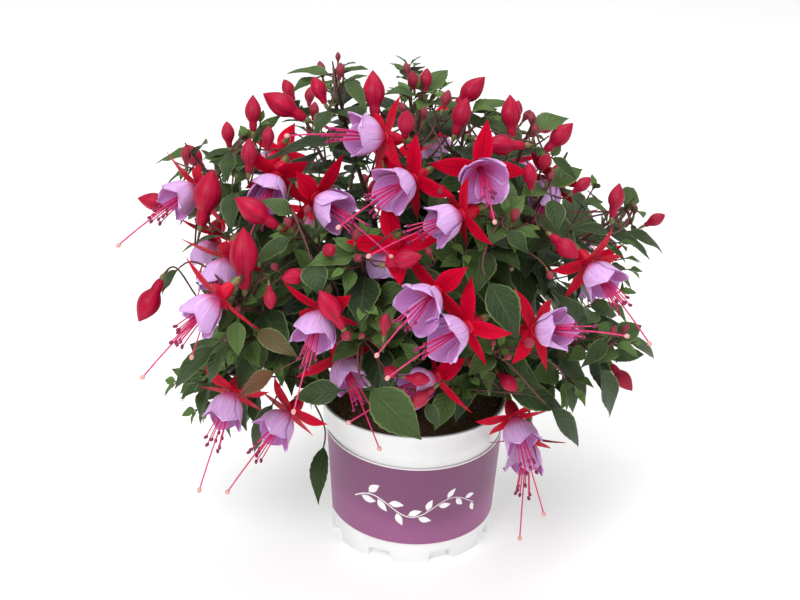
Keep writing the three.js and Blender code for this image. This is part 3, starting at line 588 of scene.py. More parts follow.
class Shader:
    """Writes the nodes of one material."""

    scatter_metres = 0.002

    def __init__(self, kind: Finish, roughness: float, gloss: float = 0.5, subsurface: float = 0.0) -> None:
        """Starts a material.

        Args:
            kind: The finish that it is for.
            roughness: Its even roughness.
            gloss: How strongly it mirrors, 0.5 for plain plastic.
            subsurface: How much light scatters inside it.
        """
        self.material = bpy.data.materials.new(kind.value)
        self.material.use_nodes = True
        self.tree = self.material.node_tree
        self.inputs = self.tree.nodes["Principled BSDF"].inputs
        self.feed(self.inputs["Roughness"], roughness)
        self.feed(self.inputs["Specular IOR Level"], gloss)
        self.feed(self.inputs["Subsurface Weight"], subsurface)
        self.feed(self.inputs["Subsurface Scale"], self.scatter_metres)
        self.spots = Wire(self, self.tree.nodes.new("ShaderNodeTexCoord").outputs["Object"])

    def feed(self, socket: Socket, value: "Wire | Colour | float") -> None:
        """Links a socket to a wire, or sets its value."""
        if isinstance(value, Wire):
            self.tree.links.new(value.socket, socket)
        else:
            socket.default_value = (*value, 1.0) if isinstance(value, tuple) else value

    def node(self, kind: str, inputs: dict, output: "int | str" = 0, **settings: object) -> Wire:
        """Adds a node.

        Args:
            kind: Its type.
            inputs: What goes into its sockets, by number or name.
            output: The socket that its result leaves from.
            settings: Its settings.

        Returns:
            The wire out of it.
        """
        node = self.tree.nodes.new(f"ShaderNode{kind}")
        for name, value in settings.items():
            setattr(node, name, value)
        for name, value in inputs.items():
            self.feed(node.inputs[name], value)
        return Wire(self, node.outputs[output])

    def reads(self, name: str) -> tuple[Wire, ...]:
        """Returns the three numbers of a point's place or marks."""
        source = self.node("Attribute", {}, "Vector", attribute_name=name)
        split = self.node("SeparateXYZ", {0: source})
        return tuple(Wire(self, socket) for socket in split.socket.node.outputs)

    def step(self, value: Wire, low: float, high: float) -> Wire:
        """Returns 0 below low, 1 above high and a soft step between, either way round."""
        rising = low < high
        ends = {
            "From Min": min(low, high), "From Max": max(low, high),
            "To Min": float(not rising), "To Max": float(rising),
        }
        return self.node("MapRange", {"Value": value, **ends}, "Result", interpolation_type="SMOOTHSTEP")

    def mix(self, share: "Wire | float", first: "Wire | Colour", second: "Wire | Colour") -> Wire:
        """Returns a colour between two."""
        return self.node("Mix", {0: share, 6: first, 7: second}, 2, data_type="RGBA")

    def grain(self, size_mm: float, detail: float = 3.0) -> Wire:
        """Returns cloudy noise whose clouds are about a size across."""
        looks = {"Vector": self.spots, "Scale": 1.0 / (size_mm * MM), "Detail": detail}
        return self.node("TexNoise", looks, "Fac")

    def streaks(self, along: Wire, side: Wire, across: float, length: float) -> Wire:
        """Returns noise drawn out along a blade, across times finer over its width."""
        spots = self.node("CombineXYZ", {0: along * length, 1: side * across})
        return self.node("TexNoise", {"Vector": spots, "Scale": 1.0, "Detail": 2.0}, "Fac")

    def finish(self, base: Wire, height: Wire, relief_mm: float, rough: Optional[Wire] = None) -> Material:
        """Connects the colour, the relief and the roughness.

        Args:
            base: The colour.
            height: The relief, from 0 to 1.
            relief_mm: How high the relief stands.
            rough: Varying roughness, or None to keep it even.

        Returns:
            The material.
        """
        self.feed(self.inputs["Base Color"], base)
        if rough:
            self.feed(self.inputs["Roughness"], rough)
        bump = self.node("Bump", {"Distance": relief_mm * MM, "Height": height}, "Normal")
        self.feed(self.inputs["Normal"], bump)
        return self.material


@dataclass(frozen=True)
class LeafFinish:
    """A fuchsia leaf: dull dark green with paler veins above, pale and red-ribbed below."""

    old: Colour = colour(32, 48, 26)
    grown: Colour = colour(56, 74, 36)
    young: Colour = colour(98, 130, 62)
    autumn: Colour = colour(112, 66, 46)
    vein: Colour = colour(86, 104, 62)
    margin: Colour = colour(112, 128, 80)
    under: Colour = colour(92, 108, 70)
    rib: Colour = colour(132, 74, 60)
    veins: float = 7.0
    slant: float = 0.3
    roughness: float = 0.44
    gloss: float = 0.24

    def make(self) -> Material:
        """Returns the material."""
        sh = Shader(Finish.LEAF, self.roughness, self.gloss)
        along, side, _ = sh.reads("place")
        tone, youth, below = sh.reads("mark")
        out = abs(side)
        base = sh.mix(sh.step(tone + sh.grain(9.0) * 0.6, 0.35, 1.2), self.old, self.grown)
        base = sh.mix(youth * 0.85, base, self.young)
        base = sh.mix(sh.step(tone, 1.1, 1.9), base, self.autumn)
        base = sh.mix(sh.step(out, 0.86, 0.96) * 0.7, base, self.margin)
        off_vein = ((along - out * self.slant) * self.veins).off_half()
        vein = sh.step(off_vein, 0.09, 0.01) * sh.step(out, 1.0, 0.55)
        midrib = sh.step(out, 0.08, 0.02)
        above = sh.mix((vein * 0.55).math("MAXIMUM", midrib) * 0.5, base, self.vein)
        lower = sh.mix(midrib * 0.8, self.under, self.rib)
        cells = sh.grain(1.6, 4.0)
        relief = cells * 0.35 + sh.step(off_vein, 0.0, 0.3) * 0.4 - midrib
        return sh.finish(sh.mix(below, above, lower), relief, 0.4, cells * 0.16 + (self.roughness - 0.06))


@dataclass(frozen=True)
class StemFinish:
    """A woody red-brown stem that is green and red at its young end."""

    wood: Colour = colour(84, 48, 40)
    bark: Colour = colour(52, 28, 26)
    young: Colour = colour(92, 48, 42)
    roughness: float = 0.55

    def make(self) -> Material:
        """Returns the material."""
        sh = Shader(Finish.STEM, self.roughness)
        _, youth, _ = sh.reads("mark")
        base = sh.mix(sh.step(sh.grain(2.5, 4.0), 0.35, 0.65), self.bark, self.wood)
        return sh.finish(sh.mix(youth, base, self.young), sh.grain(1.2, 4.0), 0.25)


@dataclass(frozen=True)
class SepalFinish:
    """The waxy crimson of tubes, sepals and buds, duller on the youngest buds, with painted sheen in fine
    pale specks.

    An open sepal's youth is below 0 and it mirrors least; a tube's is 0 and a bud's is above 0.
    """

    red: Colour = colour(204, 8, 44)
    deep: Colour = colour(158, 2, 34)
    # Paler red for the sides of blades and tubes, and also for the painted sheen specks.
    pale_and_sheen: Colour = colour(220, 26, 66)
    seam: Colour = colour(100, 2, 30)
    closed: Colour = colour(168, 14, 60)
    young: Colour = colour(134, 62, 72)
    roughness: float = 0.4
    subsurface: float = 0.05
    least_gloss: float = 0.02
    bud_gloss: float = 0.16

    def make(self) -> Material:
        """Returns the material."""
        sh = Shader(Finish.SEPAL, self.roughness, subsurface=self.subsurface)
        along, side, rise = sh.reads("place")
        tone, youth, _ = sh.reads("mark")
        streak = sh.streaks(along, side, 9.0, 2.0)
        off_seam = abs(side).math("MINIMUM", abs(rise))
        base = sh.mix(sh.step(streak, 0.3, 0.7), self.deep, self.red)
        base = sh.mix(sh.step(abs(side), 0.55, 1.0) * 0.45, base, self.pale_and_sheen)
        base = sh.mix(tone * 0.35, base, self.red)
        base = sh.mix(sh.step(youth, 0.0, 0.3) * 0.75, base, self.closed)
        base = sh.mix(sh.step(youth, 0.3, 1.0), base, self.young)
        base = sh.mix(sh.step(streak, 0.56, 0.36) * sh.step(youth, -0.1, 0.2) * 0.45, base, self.seam)
        # Painted sheen: fine pale specks that stand in for the waxy surface's speckled highlights.
        base = sh.mix(sh.step(sh.grain(0.7, 2.0), 0.5, 0.72) * 0.35, base, self.pale_and_sheen)
        base = sh.mix(sh.step(off_seam, 0.08, 0.02) * 0.5, base, self.seam)
        gloss = sh.step(youth, -0.4, -0.1) * self.bud_gloss + self.least_gloss
        sh.feed(sh.inputs["Specular IOR Level"], gloss)
        return sh.finish(base, streak, 0.22, sh.grain(1.5, 3.0) * 0.14 + (self.roughness - 0.05))


@dataclass(frozen=True)
class PetalFinish:
    """The thin lilac petals of the corolla, with crimson veins that run out from their base."""

    lilac: Colour = colour(196, 148, 210)
    pale: Colour = colour(220, 184, 230)
    base: Colour = colour(206, 70, 138)
    vein: Colour = colour(178, 44, 124)
    inside: Colour = colour(190, 122, 192)
    veins: float = 4.5

    def make(self) -> Material:
        """Returns the material."""
        sh = Shader(Finish.PETAL, 0.55, 0.25, 0.12)
        along, side, _ = sh.reads("place")
        _, _, below = sh.reads("mark")
        silk = sh.streaks(along, side, 14.0, 1.2)
        skin = sh.mix(below * 0.8, sh.mix(sh.step(silk, 0.3, 0.7), self.lilac, self.pale), self.inside)
        vein = sh.step((side * self.veins).off_half(), 0.14, 0.02) * sh.step(along, 0.85, 0.2)
        skin = sh.mix(vein * (below * 0.4 + 0.3), skin, self.vein)
        skin = sh.mix(sh.step(along, 0.42, 0.05) * 0.9, skin, self.base)
        edge = sh.step(abs(side), 0.84, 1.0).math("MAXIMUM", sh.step(along, 0.92, 1.0))
        return sh.finish(sh.mix(edge * 0.5, skin, self.pale), silk, 0.25)


@dataclass(frozen=True)
class PlainFinish:
    """A finish of two close colours in small clouds, with a little relief."""

    kind: Finish
    first: Colour
    second: Colour
    cloud_mm: float
    relief_mm: float
    roughness: float
    detail: float = 3.0
    glow: float = 0.0

    def make(self) -> Material:
        """Returns the material."""
        sh = Shader(self.kind, self.roughness)
        sh.feed(sh.inputs["Emission Color"], (1.0, 1.0, 1.0))
        sh.feed(sh.inputs["Emission Strength"], self.glow)
        clouds = sh.grain(self.cloud_mm, self.detail)
        rough = clouds * 0.12 + (self.roughness - 0.06)
        paint = sh.mix(sh.step(clouds, 0.3, 0.7), self.first, self.second)
        return sh.finish(paint, clouds, self.relief_mm, rough)


@dataclass(frozen=True)
class LabelFinish:
    """A plum label with a thin white border, darker in its upper middle and glossier than the pot."""

    plum: Colour = colour(120, 68, 104)
    magenta: Colour = colour(150, 84, 132)
    border: Colour = colour(236, 232, 234)
    roughness: float = 0.36
    end_edge: float = 0.985
    top_edge: float = 0.482

    def make(self) -> Material:
        """Returns the material."""
        sh = Shader(Finish.LABEL, self.roughness)
        _, side, rise = sh.reads("place")
        middle = abs(side)
        ink = sh.mix(sh.step(middle * 0.6 + sh.step(rise, 0.55, 0.0), 0.1, 1.0), self.plum, self.magenta)
        ink = sh.mix(sh.grain(14.0) * 0.12, ink, self.magenta)
        near_end = sh.step(middle, self.end_edge, self.end_edge + 0.002)
        near_top = sh.step(abs(rise - 0.5), self.top_edge, self.top_edge + 0.004)
        paint = sh.mix(near_end.math("MAXIMUM", near_top), ink, self.border)
        return sh.finish(paint, sh.grain(0.8, 2.0), 0.03)


FINISHES = {
    Finish.LEAF: LeafFinish(),
    Finish.STEM: StemFinish(),
    Finish.SEPAL: SepalFinish(),
    Finish.PETAL: PetalFinish(),
    Finish.LABEL: LabelFinish(),
} | {kind: PlainFinish(kind, colour(*first), colour(*second), *looks) for kind, first, second, *looks in (
    (Finish.OVARY, (92, 96, 50), (122, 104, 58), 2.0, 0.1, 0.4),
    (Finish.THREAD, (198, 26, 92), (212, 52, 116), 3.0, 0.05, 0.4),
    (Finish.ANTHER, (104, 14, 62), (150, 30, 92), 0.7, 0.15, 0.6),
    (Finish.STIGMA, (212, 138, 140), (226, 176, 164), 0.8, 0.1, 0.5),
    (Finish.POT_WHITE, (238, 238, 238), (244, 244, 243), 25.0, 0.06, 0.38),
    (Finish.POT_BLACK, (22, 22, 23), (34, 33, 33), 6.0, 0.1, 0.48),
    (Finish.ORNAMENT, (240, 236, 238), (246, 243, 245), 6.0, 0.02, 0.4),
    (Finish.PEAT, (88, 62, 44), (150, 114, 82), 1.6, 1.4, 0.95, 6.0),
    (Finish.FLOOR, (246, 246, 246), (248, 248, 248), 300.0, 0.01, 0.9, 3.0, 0.22),
)}


class Palette:
    """The materials, each made when a piece first asks for it."""

    def __init__(self) -> None:
        """Starts with no materials."""
        self.made: dict[Finish, Material] = {}

    def __getitem__(self, finish: Finish) -> Material:
        """Returns the material of a finish."""
        if finish not in self.made:
            self.made[finish] = FINISHES[finish].make()
        return self.made[finish]


PALETTE = Palette()


# ---------------------------------------------------------------- pot, label and soil


@dataclass(frozen=True)
class Pot:
    """A tapered nursery pot with a turned-out lip, a faint collar and a notched foot."""

    height: float = 105.0
    rim_radius: float = 65.0
    foot_radius: float = 56.5
    wall: float = 1.5
    lip_height: float = 1.8
    lip_reach: float = 1.2
    lip_white: float = 2.1
    collar_height: float = 20.0
    collar_step: float = 0.9
    floor: float = 2.4
    hub: float = 8.0
    corner_rise: float = 12.0
    corner_reach: float = 7.5
    notches: int = 8
    notch_width: float = 18.0
    notch_height: float = 8.0
    notch_depth: float = 5.0
    notch_corner: float = 1.3
    first_notch: float = 22.5
    drains: int = 5
    drain_circle: float = 33.0
    drain_radius: float = 4.5
    drain_sides: int = 24
    ribs: int = 96
    rib_depth: float = 0.22
    columns: int = 384
    rounding: float = 0.35
    outer_rings: tuple[float, ...] = (14.0, 30.0, 45.0, 60.0, 75.0)
    inner_rings: tuple[float, ...] = (95.0, 80.0, 60.0, 40.0)

    @property
    def slope(self) -> float:
        """How far the wall leans out for each millimetre up."""
        return (self.rim_radius - self.lip_reach - self.foot_radius) / self.height

    def outer(self, z: float) -> float:
        """Returns the wall's outer radius at a height."""
        step = self.collar_step if z < self.height - self.collar_height else 0.0
        return self.foot_radius + self.slope * z - step

    def inner(self, z: float) -> float:
        """Returns the wall's inner radius at a height."""
        return self.foot_radius + self.slope * z - self.collar_step - self.wall

    def notch_at(self, azimuth: Array) -> Array:
        """Returns how high the foot is cut away at each azimuth, in degrees."""
        pitch = 360.0 / self.notches
        off = np.abs((azimuth - self.first_notch + pitch / 2) % pitch - pitch / 2)
        half = math.degrees(math.asin(self.notch_width / 2 / self.outer(0.0)))
        corner = np.clip((half - off) / self.notch_corner, 0.0, 1.0)
        return self.notch_height * np.sqrt(1.0 - (1.0 - corner) ** 2)

    def build(self) -> Object:
        """Builds the pot, with its drain holes cut through the floor. Returns the piece."""
        azimuth = np.arange(self.columns) * 360.0 / self.columns
        turns, notch = np.radians(azimuth), self.notch_at(azimuth)
        top, rim, r = self.height, self.rim_radius, self.rounding
        collar, under_lip = top - self.collar_height, top - self.lip_height
        heel = self.outer(0.0) - self.notch_depth
        white: list[tuple[Array | float, Array | float]] = [
            (self.hub, 0.0), (heel, 0.0), (heel, notch),
            (self.outer(0.0) - r + self.slope * notch, notch),
            (self.outer(0.0) + self.slope * notch, notch + r),
            *[(self.outer(z), z) for z in (*self.outer_rings, collar - 0.4)],
            (self.outer(collar + 0.5) - 0.1, collar + 0.5),
            *[(self.outer(z), z) for z in (collar + 1.1, collar + 8.0, under_lip - 0.5)],
            (self.outer(under_lip) + 0.1, under_lip), (rim - r, under_lip), (rim, under_lip + r),
            (rim, top - r), (rim - r, top), (self.inner(top) + self.lip_white, top),
        ]
        ribs = self.rib_depth * (1.0 - np.cos(self.ribs * turns)) * 0.5
        black = [
            (self.inner(top) + 0.9, top), (self.inner(top) + 0.2, top - 0.6),
            *[(self.inner(z) - ribs, z) for z in (top - 1.6, *self.inner_rings, self.corner_rise)],
            (self.inner(0.0) - self.corner_reach, self.floor), (self.hub, self.floor),
        ]
        flat = np.ones(self.columns)
        points = np.stack([
            np.stack([radius * np.sin(turns), -radius * np.cos(turns), z * flat], axis=1)
            for radius, z in white + black
        ])
        mesh = PieceMesh()
        stretches = ((0, Finish.POT_WHITE), (len(white) - 1, Finish.POT_BLACK))
        mesh.add_rings(points, np.zeros(points.shape), PLAIN_MARK, stretches)
        piece = mesh.make("nursery_pot")
        self.drill(piece)
        return hand_in(piece, ["pot"])

    def drill(self, piece: Object) -> None:
        """Cuts the drain holes through the floor of the pot."""
        work = bmesh.new()
        radius = self.drain_radius * MM
        for k in range(self.drains):
            turn = TURN * k / self.drains
            place = Vector((math.cos(turn), math.sin(turn), 0.0)) * self.drain_circle * MM
            bmesh.ops.create_cone(
                work, cap_ends=True, segments=self.drain_sides, radius1=radius, radius2=radius,
                depth=self.floor * 4 * MM, matrix=Matrix.Translation(place),
            )
        cutter_mesh = bpy.data.meshes.new("drain_cutter")
        work.to_mesh(cutter_mesh)
        work.free()
        cutter = bpy.data.objects.new("drain_cutter", cutter_mesh)
        bpy.context.scene.collection.objects.link(cutter)
        cut = piece.modifiers.new("drains", "BOOLEAN")
        cut.operation, cut.object, cut.solver = "DIFFERENCE", cutter, "EXACT"
        done = bpy.data.meshes.new_from_object(piece.evaluated_get(bpy.context.evaluated_depsgraph_get()))
        piece.modifiers.clear()
        piece.data = done
        bpy.data.objects.remove(cutter)


@dataclass(frozen=True)
class Label:
    """A printed label: a straight strip bent round the cone of the pot, so that its ends rise."""

    pot: Pot
    start: float = -72.0
    stop: float = 112.0
    bottom: float = 15.8
    top: float = 78.8
    gap: float = 0.35
    thickness: float = 0.7
    columns: int = 120
    rows: int = 40

    def surface(self, azimuth: Array, front: Array, lift: Array | float) -> Array:
        """Finds points of the label.

        Args:
            azimuth: Degrees round the pot.
            front: The heights that the points would have in the label's middle.
            lift: How far they lie off the pot's wall.

        Returns:
            The points, in the shape of the azimuths with three numbers in the last axis.
        """
        slope = self.pot.slope
        apex = self.pot.foot_radius / slope
        unrolled = np.radians(azimuth - (self.start + self.stop) / 2) * slope
        z = (front + apex) / np.cos(unrolled) - apex
        wall = self.pot.foot_radius - self.pot.collar_step + slope * z
        radius = wall + self.gap + lift
        turn = np.radians(azimuth)
        return np.stack([radius * np.sin(turn), -radius * np.cos(turn), z], axis=-1)

    def build(self) -> Object:
        """Builds the label. Returns the piece."""
        mesh = PieceMesh()
        across = np.linspace(self.start, self.stop, self.columns + 1)
        azimuth, front = np.meshgrid(across, np.linspace(self.bottom, self.top, self.rows + 1))
        places = np.zeros((*azimuth.shape, 3))
        places[..., 1] = (azimuth - (self.start + self.stop) / 2) / (self.stop - self.start) * 2
        places[..., 2] = (front - self.bottom) / (self.top - self.bottom)
        outside, back = (
            mesh.add_points(self.surface(azimuth, front, lift), places, np.array([0.5, 0.0, under]))
            for lift, under in ((self.thickness, 0.0), (0.0, 1.0))
        )
        mesh.add_grid(outside, Finish.LABEL)
        mesh.add_grid(back[:, ::-1], Finish.LABEL)
        for edge in (0, -1):
            mesh.add_grid(np.stack([outside[edge], back[edge]]), Finish.LABEL)
            mesh.add_grid(np.stack([outside[:, edge], back[:, edge]]), Finish.LABEL)
        return hand_in(mesh.make("plum_label"), ["label"])


@dataclass(frozen=True)
class Sprig:
    """A plain white vine with leaves, printed along the middle of the label."""

    label: Label
    start: float = -40.0
    stop: float = 46.0
    middle: float = 46.0
    sway: float = 6.5
    waves: float = 1.6
    half_width: float = 0.45
    taper: float = 0.6
    leaves: int = 13
    leaf_length: float = 12.5
    leaf_half: float = 2.7
    leaf_turn: float = 48.0
    shrink: float = 0.35
    steps: int = 72
    leaf_steps: int = 14
    mm_per_degree: float = 1.06
    print_height: float = 0.08

    def vine(self, shares: Array) -> Array:
        """Returns points of the vine in flat millimetres on the label, at shares of its length."""
        across = (self.start + (self.stop - self.start) * shares) * self.mm_per_degree
        return np.stack([across, self.middle + self.sway * np.sin(TURN * self.waves * shares)], axis=-1)

    def strip(self, mesh: PieceMesh, spine: Array, halves: Array) -> None:
        """Adds a thin strip of print.

        Args:
            mesh: The piece.
            spine: The points along it, in flat millimetres on the label.
            halves: Its half width at each.
        """
        ahead = np.gradient(spine, axis=0)
        ahead /= np.linalg.norm(ahead, axis=1)[:, None]
        out = np.stack([-ahead[:, 1], ahead[:, 0]], axis=1) * halves[:, None]
        spots = np.stack([spine - out, spine, spine + out], axis=1)
        azimuth, height = spots[..., 0] / self.mm_per_degree, spots[..., 1]
        lift = self.label.thickness + self.print_height * np.array([0.5, 1.0, 0.5])
        upper = self.label.surface(azimuth, height, lift)
        under = self.label.surface(azimuth, height, lift - self.print_height)
        mesh.blade(upper, under, np.zeros(upper.shape), PLAIN_MARK[:2], Finish.ORNAMENT)

    def build(self) -> Object:
        """Builds the vine. Returns the piece."""
        mesh = PieceMesh()
        shares = np.linspace(0.0, 1.0, self.steps + 1)
        self.strip(mesh, self.vine(shares), self.half_width * (1.05 - shares * self.taper))
        t = np.linspace(0.0, 1.0, self.leaf_steps + 1)
        for k in range(self.leaves):
            share = (k + 0.6) / self.leaves
            root, ahead = self.vine(np.array([share, share + 0.01]))
            opening = math.radians(self.leaf_turn) * (1 if k % 2 else -1)
            turns = math.atan2(*(ahead - root)[::-1]) + opening - opening * 0.5 * t
            size = 1.0 - self.shrink * share
            length = self.leaf_length * size
            steps = np.stack([np.cos(turns), np.sin(turns)], axis=1) * length / self.leaf_steps
            swell = np.sin(math.pi * np.clip(t * 1.12 - 0.12, 0, 1) ** 0.8)
            self.strip(mesh, root + np.cumsum(steps, axis=0), 0.12 + self.leaf_half * size * swell)
        return hand_in(mesh.make("label_vine"), [])


@dataclass(frozen=True)
class Soil:
    """Dark peat that fills the pot to a little below its rim."""

    pot: Pot
    top: float = 95.0
    gap: float = 0.45
    lumps: float = 0.96
    columns: int = 96
    rings: int = 26
    waves: int = 9
    crumbs: int = 140
    seed: int = 77

    def build(self) -> Object:
        """Builds the soil with its lumps and loose crumbs. Returns the piece."""
        mesh, draws = PieceMesh(), Draws(self.seed)
        edge = self.pot.inner(self.top) - self.gap - self.pot.rib_depth
        turns = np.linspace(0.0, TURN, self.columns, endpoint=False)
        waves = [[draws.between(*ends) for ends in ((0.06, 0.5), (0, TURN)) * 2] for _ in range(self.waves)]
        rows = []
        for share in np.linspace(0.02, 1.0, self.rings) ** 0.8:
            x, y = share * edge * np.cos(turns), share * edge * np.sin(turns)
            bumps = sum(np.sin(a * x + b) * np.sin(c * y + d) / (1 + 3 * max(a, c)) for a, b, c, d in waves)
            rows.append(np.stack([x, y, self.top + self.lumps * bumps * (1.0 - 0.5 * share)], axis=1))
        corner = self.pot.corner_rise
        for radius, z in (
            (self.pot.inner(corner) - 2 * self.gap, corner + self.gap),
            (self.pot.inner(0.0) - self.pot.corner_reach - self.gap, self.pot.floor + self.gap),
        ):
            x, y = radius * np.cos(turns), radius * np.sin(turns)
            rows.append(np.stack([x, y, np.full(self.columns, z)], axis=1))
        points = np.stack(rows)
        mesh.add_rings(points, np.zeros(points.shape), PLAIN_MARK, ((0, Finish.PEAT),))
        for _ in range(self.crumbs):
            turn, share = draws.between(0, TURN), math.sqrt(draws.next()) * 0.97
            size = draws.between(0.6, 2.0)
            x, y = share * edge * math.cos(turn), share * edge * math.sin(turn)
            spot = np.array([x, y, self.top + size * 0.3])
            axis = unit(np.array([draws.between(-reach, reach) for reach in (1, 1, 0.4)]))
            mesh.ball(spot, axis, size * 2.4, size, Finish.PEAT)
        return hand_in(mesh.make("peat"), ["soil"])


# ---------------------------------------------------------------- where everything grows


@dataclass(frozen=True)
class ShootRow:
    """A shoot: its name, its tip, how far up its cutting's leader it starts, its leaf pairs, and its side.

    A place is a pixel of the reference view and the size of the dome there, or, on the side behind, an
    azimuth, an elevation and the size.
    """

    name: str
    tip: Point
    start: float = 0.0
    pairs: int = 3
    behind: bool = False


@dataclass(frozen=True)
class BloomRow:
    """An open bloom: where its sepals part, the way it faces, its sepals' angle and turn, and its flare."""

    at: Point
    faces: Point
    spread: float
    roll: float
    flare: float = 0.0


@dataclass(frozen=True)
class BudRow:
    """A bud: its middle, the way it points and its length."""

    at: Point
    faces: Point
    length: float


@dataclass(frozen=True)
class BunchRow:
    """A bunch of flowers on a shoot, and whether it is on the side behind."""

    shoot: str
    blooms: tuple[BloomRow, ...]
    buds: tuple[BudRow, ...]
    behind: bool


@dataclass(frozen=True)
class LeafRow:
    """A leaf seen by itself: where its blade starts and ends, its width, how far in it lies and its looks."""

    root: tuple[float, float]
    tip: tuple[float, float]
    width: float
    share: float = 0.97
    youth: float = 0.0
    tone: float = 0.5


def dome_place(at: Point, behind: bool) -> tuple[Array, Array]:
    """Returns the dome's point at a place of a row, and the direction out from it."""
    return DOME.from_angles(*at) if behind else DOME.from_view(*at)


CUTTINGS: tuple[tuple[tuple[float, float], tuple[ShootRow, ...]], ...] = (
    ((-36, 20), (
        ShootRow("left_top", (190, 150, 0.97)),
        ShootRow("left_shoulder", (250, 142, 0.93), 0.3),
        ShootRow("left_face", (239, 300, 0.93), 0.14),
        ShootRow("left_low", (205, 372, 0.8), 0.1),
        ShootRow("left_back", (-118, 14, 0.93), 0.22, behind=True),
    )),
    ((38, 24), (
        ShootRow("right_top", (531, 126, 0.97)),
        ShootRow("right_shoulder", (549, 184, 0.94), 0.3),
        ShootRow("right_far", (629, 204, 0.98), 0.2),
        ShootRow("right_low", (616, 340, 0.95), 0.12),
        ShootRow("right_back", (112, 16, 0.93), 0.24, behind=True),
    )),
    ((2, -14), (
        ShootRow("front_left", (357, 250, 0.95)),
        ShootRow("front_middle", (361, 336, 0.82), 0.2),
        ShootRow("front_right", (498, 350, 0.84), 0.16),
        ShootRow("front_face", (503, 218, 0.96), 0.34),
        ShootRow("front_brow", (292, 211, 0.94), 0.28),
        ShootRow("rim_left", (388, 392, 0.64), 0.06, 1),
        ShootRow("rim_right", (452, 388, 0.66), 0.1, 1),
    )),
    ((-12, 36), (
        ShootRow("crown_left", (334, 70, 0.99)),
        ShootRow("crown_middle", (423, 90, 0.95), 0.34),
        ShootRow("back_left", (-148, 38, 0.94), 0.2, behind=True),
        ShootRow("back_low", (-172, 8, 0.93), 0.12, behind=True),
    )),
    ((18, 40), (
        ShootRow("crown_right", (468, 108, 0.93)),
        ShootRow("back_right", (146, 34, 0.95), 0.24, behind=True),
        ShootRow("back_middle", (178, 62, 0.93), 0.32, behind=True),
        ShootRow("back_side", (130, 4, 0.9), 0.12, behind=True),
    )),
)

